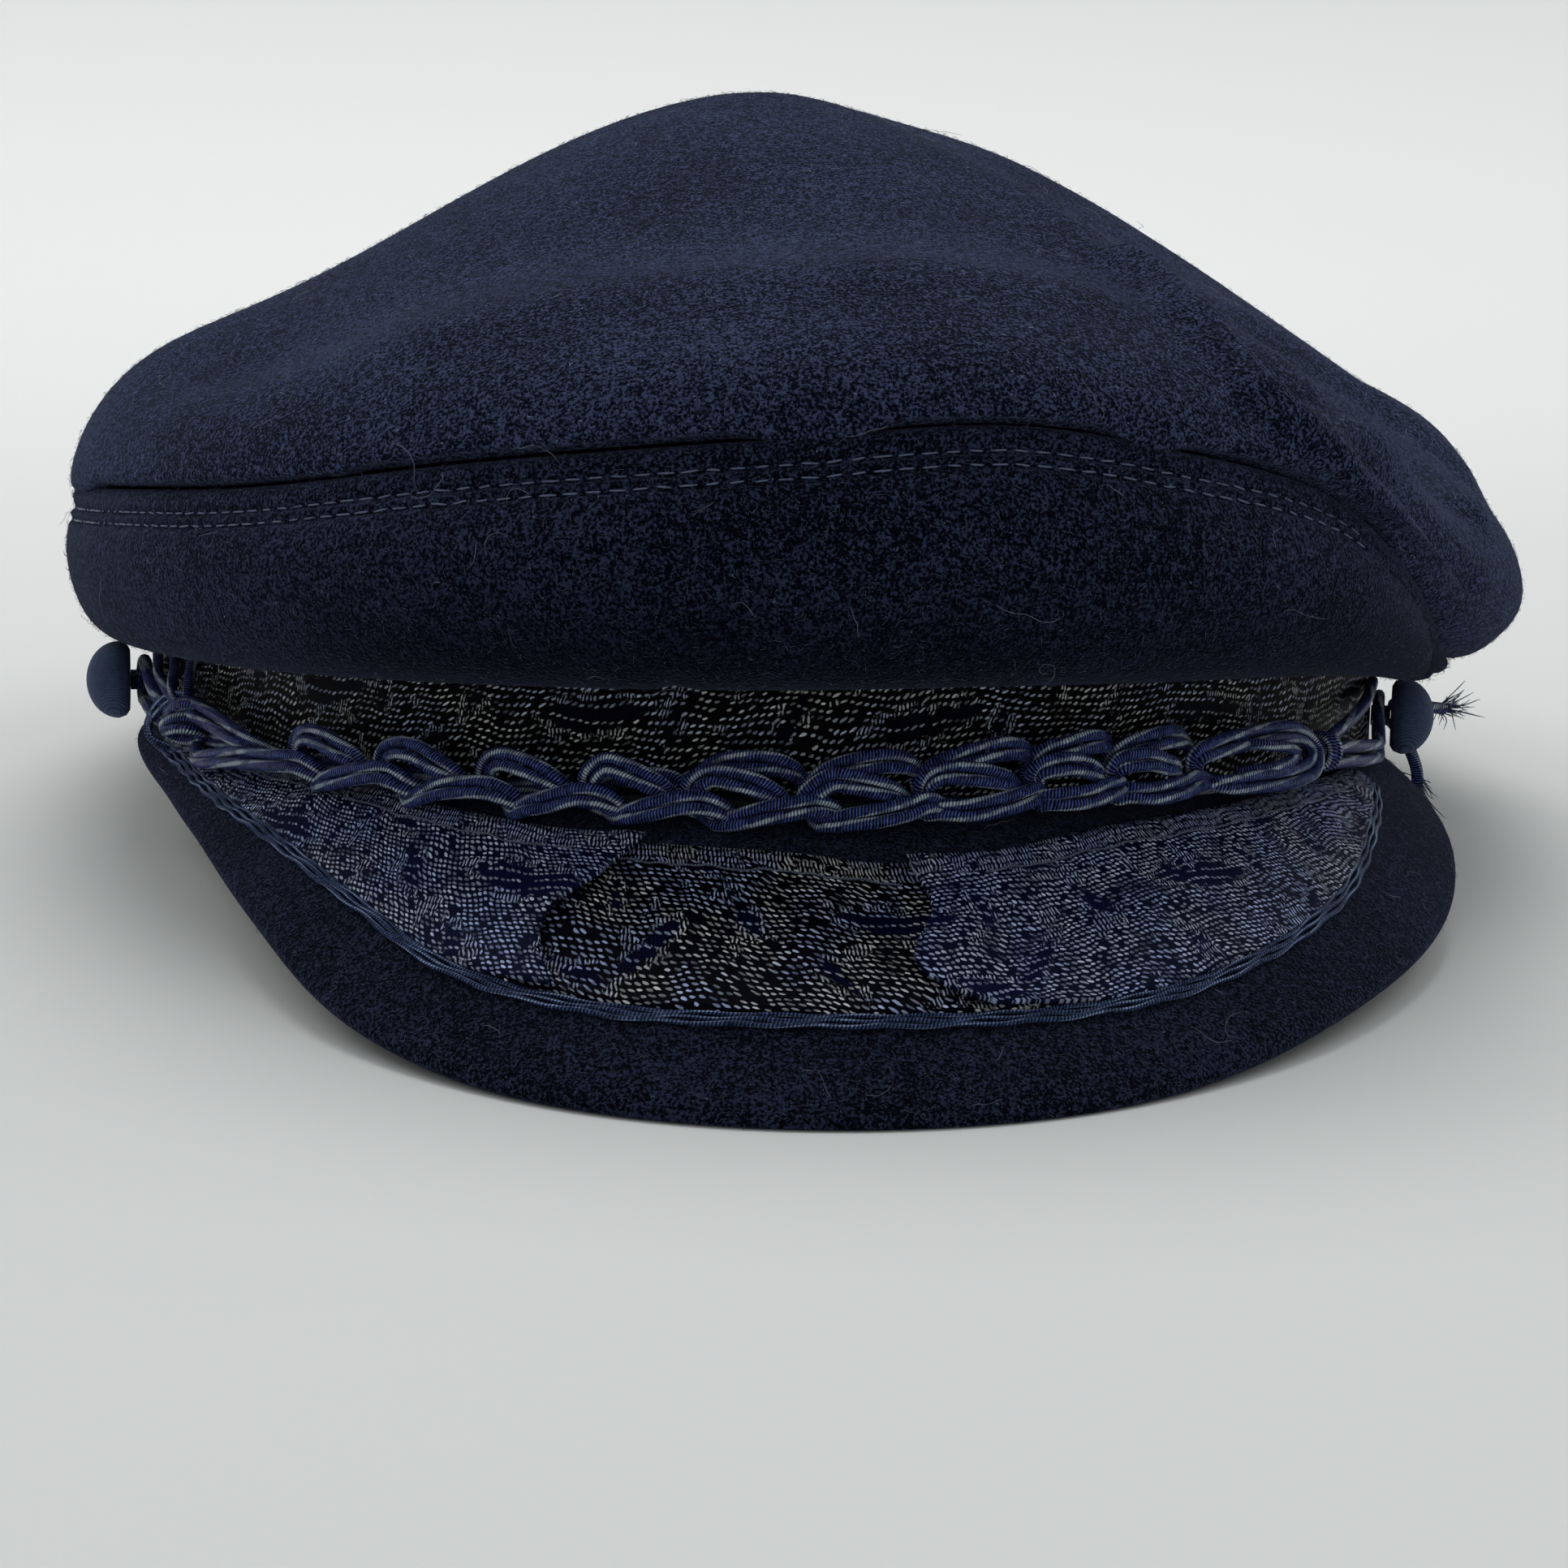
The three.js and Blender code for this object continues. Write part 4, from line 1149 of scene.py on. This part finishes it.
# %% Knot, wrap and chain plait
def knot_path(azimuth, turns, wide, deep, rise, height=0.0):
    """A cord wound `turns` times round the plait's start, each turn tilted up to the right."""
    steps = []
    for k in range(int(turns * 10) + 1):
        angle = math.tau * k / 10
        beside = math.degrees(wide * math.sin(angle) / (band_radius(azimuth) + PLAIT["stand"]))
        across = height + (k / (turns * 10) - 0.5) * rise + 0.55 * beside * MM
        steps.append(plait_place(azimuth + beside, across, 0.5 * MM + deep * math.cos(angle)))
    return smooth_path(steps)


def wrap_path(azimuth, turns, wide, deep, advance):
    """A cord wound round the plait's end, each turn upright."""
    steps = []
    for k in range(int(turns * 10) + 1):
        angle = math.tau * k / 10 + math.pi
        steps.append(plait_place(azimuth + advance * k / 10, wide * math.sin(angle), deep * math.cos(angle)))
    return smooth_path(steps)


def placed(*rows):
    """A path through rows of azimuth, height and distance out of the band, in degrees and millimetres."""
    return smooth_path([at(a, band_radius(a) + out * MM, height * MM) for a, height, out in rows])


plait = cords("chain_plait", [
    *plait_cords(),
    knot_path(-57.4, turns=2.8, wide=3.5 * MM, deep=2.6 * MM, rise=5.0 * MM, height=-0.3 * MM),
    wrap_path(44.6, turns=1.6, wide=2.1 * MM, deep=1.9 * MM, advance=0.9),
    placed((34.0, 6.8, 5.2), (36.0, 6.6, 7.2), (38.6, 6.0, 7.6), (40.4, 5.1, 6.6)),
    placed((34.0, 3.0, 5.2), (36.0, 3.5, 7.2), (38.6, 4.1, 7.6), (40.4, 4.8, 6.6)),
], CORD)
finish_piece(plait, satin_blue, "satin_cord", "braid")

# %% [markdown]
# Where the plait starts, three short ends come down from under the crown into its knot, and the outer
# cords of the piping turn up round the knot and are caught in it.

# %% Start of the plait
uprights = cords("plait_start", [
    placed((-69.5, 12.5, 2.4), (-67.5, 10.6, 3.6), (-65, 8.6, 5.0), (-61.5, 6.2, 5.6), (-59.5, 4.6, 4.6)),
    placed((-65.5, 12.0, 2.4), (-63.5, 9.8, 3.8), (-61.4, 7.2, 5.6), (-59.0, 4.2, 5.8), (-57.8, 3.0, 4.4)),
    placed((-61.0, 12.6, 2.4), (-60.2, 10.0, 3.8), (-58.8, 7.6, 5.2), (-58.0, 5.2, 5.6), (-57.6, 3.4, 4.4)),
], 0.72 * MM)
finish_piece(uprights, satin_blue, "satin_cord")


def turned_up(beside):
    """The path of a piping cord that leaves the ribbon's edge and turns up round the knot."""
    def off_band(azimuth, out, height, shift=0.0):
        return at(azimuth + shift, band_radius(azimuth) + out * MM, height * MM)

    def on_edge(azimuth, lift):
        beyond = float(ribbon_outer(azimuth)) + 1.35 * MM - beside * 0.8 * MM
        return visor_place(azimuth, beyond, lift * MM)

    return smooth_path([
        off_band(-57.5, 4.6, 6.4 - beside), off_band(-61.0, 5.6, 6.7 - beside),
        off_band(-63.6, 6.2, 4.9 - beside * 0.6, beside), off_band(-65.2, 6.5, 2.3, beside),
        off_band(-65.0, 6.6, 0.2, beside), on_edge(-63.6, 0.7), on_edge(-61.5, 0.55),
    ])


piping_ends = cords("piping_turned_up", [turned_up(beside) for beside in (0.0, 1.0)], 0.42 * MM, 8)
finish_piece(piping_ends, satin_pale, "satin_cord")

# %% [markdown]
# ## Buttons
# Each button is a domed shell covered in navy twill, on a short shank. The dome is half a sphere,
# flattened, with a narrow flange turned in behind.

# %% Twill
TWILL_PITCH = 0.42 * MM


def twill(name):
    """Covering cloth with fine slanting ridges."""
    finish = Finish(name, {"Roughness": 0.8, "Specular IOR Level": 0.12, "Sheen Weight": 0.2,
                           "Sheen Roughness": 0.4, "Sheen Tint": (0.5, 0.65, 1, 1)})
    place = finish.add("ShaderNodeTexCoord", out="Object")
    _, y, z = finish.split(place)
    fleck = finish.noise(place, 1500, 2)
    ridge = ((y + z * 1.2) * (math.tau / TWILL_PITCH) + fleck * 4).sine() * 0.5 + 0.5
    color = finish.mix(ridge * 0.45 + fleck * 0.7, (0.009, 0.013, 0.027), (0.070, 0.098, 0.190))
    return finish.wear(Base_Color=color, Normal=finish.bump(ridge + fleck * 0.5, 0.00012, 0.7))


navy_twill = twill("navy_twill")

# %% Buttons
BUTTON = {"radius": 5.6 * MM, "height": 6.2 * MM, "flat": 0.82, "flange": 1.1 * MM, "taper": 0.93,
          "turned_in": 0.8 * MM, "hollow": 0.5 * MM}
# each button's worn place
BUTTONS = {"left": (-97.6 * MM, -27 * MM, 6.6 * MM), "right": (92.2 * MM, -27 * MM, 5.4 * MM)}


def button_axis(x, y):
    """The direction straight out of the band's oval."""
    return Vector((x / BAND_WIDE**2, y / BAND_LONG**2, 0)).normalized()


for side, (x, y, z) in BUTTONS.items():
    bpy.ops.object.select_all(action="DESELECT")
    bpy.ops.mesh.primitive_uv_sphere_add(segments=40, ring_count=20, radius=BUTTON["radius"])
    button = bpy.context.object
    button.name = button.data.name = f"button_{side}_twill"
    bpy.ops.object.mode_set(mode="EDIT")
    bpy.ops.mesh.select_all(action="SELECT")
    bpy.ops.mesh.bisect(plane_co=(0, 0, 0), plane_no=(0, 0, 1), clear_inner=True, use_fill=True)
    bpy.ops.mesh.select_all(action="SELECT")
    bpy.ops.transform.resize(value=(1, 1, BUTTON["flat"]))
    bpy.ops.mesh.select_mode(type="FACE")
    bpy.ops.mesh.select_all(action="DESELECT")
    bpy.ops.object.mode_set(mode="OBJECT")
    base = max(button.data.polygons, key=lambda face: face.area)
    base.select = True
    bpy.ops.object.mode_set(mode="EDIT")
    bpy.ops.mesh.extrude_region_move(TRANSFORM_OT_translate={"value": (0, 0, -BUTTON["flange"])})
    bpy.ops.transform.resize(value=(BUTTON["taper"], BUTTON["taper"], 1), center_override=(0, 0, 0))
    bpy.ops.mesh.inset(thickness=BUTTON["turned_in"])
    bpy.ops.transform.translate(value=(0, 0, -BUTTON["hollow"]))
    bpy.ops.mesh.select_all(action="SELECT")
    bpy.ops.mesh.normals_make_consistent(inside=False)
    bpy.ops.object.mode_set(mode="OBJECT")
    bpy.ops.object.shade_smooth_by_angle(angle=math.radians(50))
    facing = button_axis(x, y).to_track_quat("Z", "Y").to_matrix().to_4x4()
    lift = Matrix.Translation((0, 0, -BUTTON["height"] / 2 + BUTTON["flange"] + BUTTON["hollow"]))
    place = Matrix.Translation((x, y, z)) @ facing @ lift
    button.data.transform(WORN @ place)
    finish_piece(button, navy_twill, "twill", f"button_{side}")

# %% [markdown]
# ## Ties and cord ends
# From each end of the plait a cord runs round the button's shank and back, and behind the right
# button its two cut ends stand out and fray.

# %% Ties
TIE = {"cord": 0.95 * MM, "shank": 1.5 * MM, "slack": 0.3 * MM}


def stand_off(side):
    """How far the middle of a button stands from the band's ribbon."""
    x, y, _ = BUTTONS[side]
    return math.hypot(x, y) - band_radius(math.degrees(math.atan2(x, -y))) - RIBBON_OUT


def tie_path(side, start, height, apart):
    """A cord from the plait round a button's shank and back, its two legs `apart` from their middle."""
    x, y, z = BUTTONS[side]
    to = math.degrees(math.atan2(x, -y))
    onward = math.copysign(1, to)
    neck = (stand_off(side) - BUTTON["height"] / 2) / 2 + RIBBON_OUT
    reach = TIE["shank"] + TIE["cord"] + TIE["slack"]
    start += onward * 0.4

    def arm(leg):
        for share in (0, 0.3, 0.6, 0.85, 1):
            azimuth = start + (to - start) * share
            ease = share * share * (3 - 2 * share)
            out = PLAIT["stand"] + (neck - PLAIT["stand"]) * ease
            rise = height + leg * apart + (z + leg * reach - height - leg * apart) * share
            yield at(azimuth, band_radius(azimuth) + out, rise)

    beyond = to + onward * math.degrees(reach / band_radius(to))
    around = at(beyond, band_radius(beyond) + neck, z)
    return smooth_path([*arm(1), around, *reversed(list(arm(-1)))])


tie_left = cords("tie_left", [tie_path("left", PLAIT["from"] - 1, 3.2 * MM, 1.1 * MM)], TIE["cord"])
finish_piece(tie_left, satin_blue, "satin_cord", "braid_tie_left")
tie_right = cords("tie_right", [
    placed((43.5, 4.6, 5.8), (46, 6.0, 5.6), (52, 7.9, 4.8), (58, 9.6, 3.8), (63, 10.6, 2.6),
           (67, 11.2, 1.9)),
    placed((43.5, 4.9, 5.8), (50, 4.5, 5.6), (56, 3.8, 5.2), (62, 3.1, 4.5), (66.5, 3.6, 3.4),
           (70.5, 6.4, 2.5), (73.7, 8.3, 2.3), (77.0, 6.8, 2.3), (77.0, 4.0, 2.3), (73.7, 2.4, 2.3),
           (70, 1.2, 2.8), (66, 0.7, 3.5), (60, 1.2, 4.6), (52, 2.2, 5.4), (43.5, 3.0, 5.8)),
], 0.85 * MM)
finish_piece(tie_right, satin_blue, "satin_cord", "braid_tie_right")

for side, (x, y, z) in BUTTONS.items():
    axis = np.array(button_axis(x, y))
    middle = np.array((x, y, z))
    inner, outer = -stand_off(side) + 0.1 * MM, -BUTTON["height"] / 2 + 0.4 * MM
    steps = [middle + axis * (inner + (outer - inner) * share) for share in (0, 0.35, 0.7, 1)]
    shank = cords(f"shank_{side}", [smooth_path(steps, 0.3 * MM)], TIE["shank"])
    finish_piece(shank, satin_blue, "satin_cord", f"button_shank_{side}")

# %% Cord ends
# steps from the right button's middle, in millimetres
END_ROUTES = {
    "upper": ((0.2, 11.5, 0.6), (3.4, 13.6, 0.4), (7.0, 15.6, 0.0), (9.4, 16.8, -0.3)),
    "lower": ((0.2, 11.5, -1.9), (2.6, 12.6, -4.6), (4.6, 13.2, -8.6), (5.2, 13.4, -11.6)),
}
FRAY = {"threads": 46, "radius": 0.09 * MM, "long": (1.5, 5.5), "splay": (0.1, 0.55)}
draw = np.random.default_rng(11)
button_right = np.array(BUTTONS["right"])
for name, route in END_ROUTES.items():
    core = smooth_path([button_right + np.array(step) * MM for step in route])
    cord_end = cords(f"cord_end_{name}_core", [core], TIE["cord"])
    finish_piece(cord_end, satin_blue, "satin_cord", f"cord_end_{name}")
    ahead = core[-1] - core[-4]
    ahead /= np.linalg.norm(ahead)
    threads = []
    for _ in range(FRAY["threads"]):
        spread = draw.normal(size=3)
        root = core[-2] + spread * 0.35 * MM
        length = draw.uniform(*FRAY["long"]) * MM
        bent = ahead + spread * draw.uniform(*FRAY["splay"])
        tip = root + (bent + draw.normal(size=3) * 0.25) * length
        threads.append(smooth_path([root - ahead * MM, root, root + bent * length * 0.5, tip], 0.7 * MM))
    fray = cords(f"cord_end_{name}_fray", threads, FRAY["radius"], 5, ends=0.3)
    finish_piece(fray, satin_pale, "satin_cord")

# %% [markdown]
# ## Topstitching
# The thread is a shade lighter than the cloth. One stitch is modelled, a slim capsule flattened on
# the cloth, and copied along both rows, each copy turned to follow the seam.

# %% One stitch
STITCH = {"length": 2.15 * MM, "pitch": 2.8 * MM, "wide": 0.13 * MM, "high": 0.12 * MM, "lift": 0.06 * MM}
thread_finish = satin(
    "stitch_thread", dark=(0.05, 0.065, 0.11), light=(0.25, 0.30, 0.45), painted_highlight=(0.34, 0.40, 0.57),
    pitch=0.6 * MM, turns=1)
bpy.ops.object.select_all(action="DESELECT")
bpy.ops.mesh.primitive_uv_sphere_add(segments=8, ring_count=6, radius=1)
stitch = bpy.context.object
stitch_places = np.array([tuple(v.co) for v in stitch.data.vertices])
stitch_faces = [tuple(face.vertices)[::-1] for face in stitch.data.polygons]
bpy.data.objects.remove(stitch)
stitch_places = stitch_places[:, (2, 1, 0)]
stitch_places[:, 0] = np.sign(stitch_places[:, 0]) * np.abs(stitch_places[:, 0]) ** 0.5
print("one stitch has", len(stitch_faces), "faces")


def sewn(name, places, normals, onward, seed):
    """Copies of the stitch lying at worn places, facing out along normals and pointing onward."""
    draw = np.random.default_rng(seed)
    worn, faces = [], []
    for place, normal, along in zip(places, normals, onward):
        along = along + draw.normal(size=3) * 0.06
        side = np.cross(normal, along)
        side /= np.linalg.norm(side)
        along = np.cross(side, normal)
        first = len(worn)
        length = STITCH["length"] * draw.uniform(0.72, 1.04)
        for x, y, z in stitch_places:
            sideways = side * y * STITCH["wide"]
            worn.append(place + along * x * length / 2 + sideways + normal * z * STITCH["high"])
        faces += [tuple(first + v for v in face) for face in stitch_faces]
    return new_mesh(name, worn, faces)


# %% Rows of stitches
# the stretch that the fold at the right hides, in degrees
COVERED = (39, 118)
# rays start on a circle outside the cap, in metres, so many times as large as the seam
OUTSIDE, FULLNESS = 0.16, 1.37


def on_row(azimuth, depth):
    """The place and normal on the side panels at a depth below the seam."""
    start = at(azimuth, OUTSIDE, float(seam_height(azimuth)) - depth)
    return on_panels(start, -at(azimuth, 1, 0))


for row, depth in STITCH_ROWS.items():
    places, normals, onward = [], [], []
    azimuth = -180.0
    while azimuth < 180:
        place, normal = on_row(azimuth, depth)
        ahead, _ = on_row(azimuth + 1, depth)
        if place is not None and ahead is not None and not COVERED[0] < azimuth < COVERED[1]:
            places.append(np.array(place + normal * STITCH["lift"]))
            normals.append(np.array(normal))
            onward.append(np.array((ahead - place).normalized()))
        level = at(azimuth, OUTSIDE, 0).xy.length
        azimuth += math.degrees(STITCH["pitch"] / level * FULLNESS)
    row_piece = sewn(f"topstitch_{row}", places, normals, onward, 5 + len(row))
    finish_piece(row_piece, thread_finish, "satin_cord")

# %% [markdown]
# ## Fibres
# What makes felted wool look soft is its outline: fine fibres stand off the cloth all over. They are
# strewn over the outside of the crown's tip, its side panels and the visor, each a thin three-sided
# point bent over the surface, with a few long stray hairs among them.

# %% Strewing
NO_AREA = 1e-12


def strew(piece, count, seed, keep):
    """Random worn places, normals and tangents on the faces that `keep` accepts, and the luck used."""
    draw = np.random.default_rng(seed)
    worn, _ = points_of(piece)
    piece.data.calc_loop_triangles()
    corners = np.empty(len(piece.data.loop_triangles) * 3, int)
    piece.data.loop_triangles.foreach_get("vertices", corners)
    a, b, c = (worn[corners.reshape(-1, 3)[:, k]] for k in range(3))
    cross = np.cross(b - a, c - a)
    area = np.linalg.norm(cross, axis=1)
    normal = cross / np.maximum(area, NO_AREA)[:, None]
    area = np.where(keep((a + b + c) / 3, normal), area, 0)
    pick = draw.choice(len(area), count, p=area / area.sum())
    u, v = draw.random(count), draw.random(count)
    flip = u + v > 1
    u, v = np.where(flip, 1 - u, u), np.where(flip, 1 - v, v)
    place = a[pick] + (b - a)[pick] * u[:, None] + (c - a)[pick] * v[:, None]
    tangent = np.cross(normal[pick], draw.normal(size=(count, 3)))
    tangent /= np.linalg.norm(tangent, axis=1)[:, None]
    return draw, place, normal[pick], tangent


# %% Fibres
# the corners of one fibre's faces: a three-sided root, a bend and a tip
FIBRE = [(0, 1, 4, 3), (1, 2, 5, 4), (2, 0, 3, 5), (3, 4, 6), (4, 5, 6), (5, 3, 6), (2, 1, 0)]
CORNERS = 7


def fibres(name, piece, count, seed, keep, length=(0.5, 1.5), lift=(0.05, 0.40), thick=0.028):
    """Short bent fibres on a piece. Lengths, lifts and thickness are in millimetres."""
    draw, root, normal, along = strew(piece, count, seed, keep)
    size = draw.uniform(*length, count)[:, None] * MM
    rise = (draw.uniform(lift[0], lift[1], count) ** 1.5 * lift[1] ** -0.5)[:, None] * MM
    aside = np.cross(normal, along)
    curl = draw.uniform(-0.5, 0.5, count)[:, None]
    bend = root + along * size * 0.5 + normal * rise
    tip = root + along * size + aside * size * curl + normal * rise * draw.uniform(0.2, 1.6, count)[:, None]
    root = root - normal * 0.05 * MM
    worn = np.empty((count, CORNERS, 3))
    for ring, (middle, scale) in enumerate(((root, 1.1), (bend, 0.9))):
        for j in range(3):
            angle = math.tau * j / 3
            offset = aside * math.cos(angle) + normal * math.sin(angle)
            worn[:, ring * 3 + j] = middle + offset * thick * scale * MM
    worn[:, 6] = tip
    faces = [tuple(v + CORNERS * i for v in face) for i in range(count) for face in FIBRE]
    strewn = new_mesh(name, worn.reshape(-1, 3), faces)
    finish_piece(strewn, wool_fibre, "wool")


def fibre_finish(name, dark, light):
    """A fibre finish, some darker and some lighter."""
    finish = Finish(name, {"Roughness": 0.7, "Specular IOR Level": 0.2, "Sheen Weight": 0.3,
                           "Sheen Tint": (0.7, 0.8, 1, 1)})
    place = finish.add("ShaderNodeTexCoord", out="Object")
    luck = finish.noise(place, 700, 1)
    return finish.wear(Base_Color=finish.mix(luck.ramp(0.35, 0.65), dark, light))


wool_fibre = fibre_finish("wool_fibre", (0.004, 0.006, 0.015), (0.065, 0.085, 0.145))
CROWN_MIDDLE = 22 * MM


def outside_of_tip(middle, normal):
    """True where the tip's cloth faces away from the middle of the crown."""
    from_middle = middle - np.array((0, 0, CROWN_MIDDLE))
    return np.sum(from_middle * normal, axis=1) > 0


def outside_of_side(middle, normal):
    """True below the seam where the panels face outwards, or down under the crown."""
    outward_level = middle[:, :2] / np.linalg.norm(middle[:, :2], axis=1)[:, None]
    facing = np.sum(outward_level * normal[:, :2], axis=1)
    below = seam_height(azimuths_of(middle)) - middle[:, 2]
    return ((facing > 0.05) | (normal[:, 2] < -0.5)) & (below > 0)


def top_of_visor(middle, normal):
    """True on the visor's top and its edge."""
    return normal[:, 2] > -0.2


fibres("fibres_tip", crown_tip, 19000, 1, outside_of_tip)
fibres("fibres_sides", panels, 15000, 2, outside_of_side)
fibres("fibres_visor", visor, 8000, 3, top_of_visor, length=(0.4, 1.2), lift=(0.03, 0.28), thick=0.025)

# %% Long stray hairs
def hairs(name, piece, count, seed, keep):
    """Long hairs that wander over a piece, each heading drawn from the last."""
    draw, root, normal, along = strew(piece, count, seed, keep)
    paths = []
    for start, out, ahead in zip(root, normal, along):
        aside = np.cross(out, ahead)
        step = draw.uniform(0.5, 1.4) * MM
        turn = draw.uniform(-0.55, 0.55)
        heading, place, points = 0.0, start - out * 0.1 * MM, [start - out * 0.3 * MM]
        for k in range(draw.integers(4, 9)):
            heading += turn + draw.normal() * 0.35
            place = place + (ahead * math.cos(heading) + aside * math.sin(heading)) * step
            points.append(place + out * (0.25 + 0.35 * draw.random()) * MM)
        paths.append(smooth_path(points, 0.7 * MM))
    strand = cords(name, paths, 0.035 * MM, 3, ends=0.3)
    finish_piece(strand, pale_hair, "wool")


pale_hair = fibre_finish("pale_hair", (0.05, 0.06, 0.09), (0.19, 0.22, 0.29))
hairs("hairs_tip", crown_tip, 120, 21, outside_of_tip)
hairs("hairs_sides", panels, 80, 22, outside_of_side)
hairs("hairs_visor", visor, 45, 23, top_of_visor)

# %% [markdown]
# ## Floor and light
# A pale studio floor that curves up into a wall all round, so that no horizon shows from any side,
# under large soft lights. The wool is brighter at its sides and top than in front, so the lights
# stand to the left, right and above, and little comes from the front.

# %% Floor
# the radius of the flat part and of the wall, the steps of the bend, and the wall's height, in metres
FLOOR = {"flat": 0.5, "wall": 2.9, "steps": 18, "height": 2.45}
bpy.ops.object.select_all(action="DESELECT")
bpy.ops.mesh.primitive_circle_add(vertices=128, radius=FLOOR["flat"], fill_type="NGON")
floor = bpy.context.object
floor.name = "studio_floor"
bpy.ops.object.mode_set(mode="EDIT")
bpy.ops.mesh.select_mode(type="EDGE")
bpy.ops.mesh.select_all(action="SELECT")
bpy.ops.mesh.region_to_loop()
bend = FLOOR["wall"] - FLOOR["flat"]
reach, height = FLOOR["flat"], 0.0
for step in range(1, FLOOR["steps"] + 1):
    angle = math.pi / 2 * step / FLOOR["steps"]
    new_reach = FLOOR["flat"] + bend * math.sin(angle)
    new_height = bend * (1 - math.cos(angle))
    bpy.ops.mesh.extrude_edges_move(TRANSFORM_OT_translate={"value": (0, 0, new_height - height)})
    factor = new_reach / reach
    bpy.ops.transform.resize(value=(factor, factor, 1), center_override=(0, 0, new_height))
    reach, height = new_reach, new_height
bpy.ops.mesh.extrude_edges_move(TRANSFORM_OT_translate={"value": (0, 0, FLOOR["height"] - height)})
bpy.ops.object.mode_set(mode="OBJECT")
bpy.ops.object.shade_smooth()
paper = Finish("pale_paper", {"Base Color": (0.8, 0.81, 0.795, 1), "Roughness": 0.9, "Specular IOR Level": 0.1})
floor.data.materials.append(paper.material)
print("floor has", len(floor.data.polygons), "faces")


# %% Lights
def softbox(name, place, size, power, target=(0, 0, 0.05)):
    """A round soft light at a place, turned to its target."""
    bpy.ops.object.light_add(type="AREA", location=place)
    light = bpy.context.object
    light.name = name
    light.data.shape = "DISK"
    light.data.size = size
    light.data.energy = power
    light.rotation_mode = "QUATERNION"
    light.rotation_quaternion = (Vector(place) - Vector(target)).to_track_quat("Z", "Y")


softbox("light_top", (-0.1, 0.6, 1.4), 1.1, 9.5)
softbox("light_left", (-1.05, 0.5, 0.95), 0.8, 3.1)
softbox("light_right", (1.05, 0.6, 0.95), 0.8, 2.5)
softbox("light_wall", (0, 0.6, 1.3), 1.2, 4.1, target=(0, 3.0, 0.7))
world = bpy.data.worlds.new("studio")
world.use_nodes = True
background = world.node_tree.nodes["Background"]
background.inputs["Color"].default_value = (0.93, 0.96, 1.0, 1)
background.inputs["Strength"].default_value = 0.42
bpy.context.scene.world = world
bpy.context.scene.view_settings.view_transform = "Standard"

print("lit by", len(bpy.data.lights), "soft lights and a pale sky")
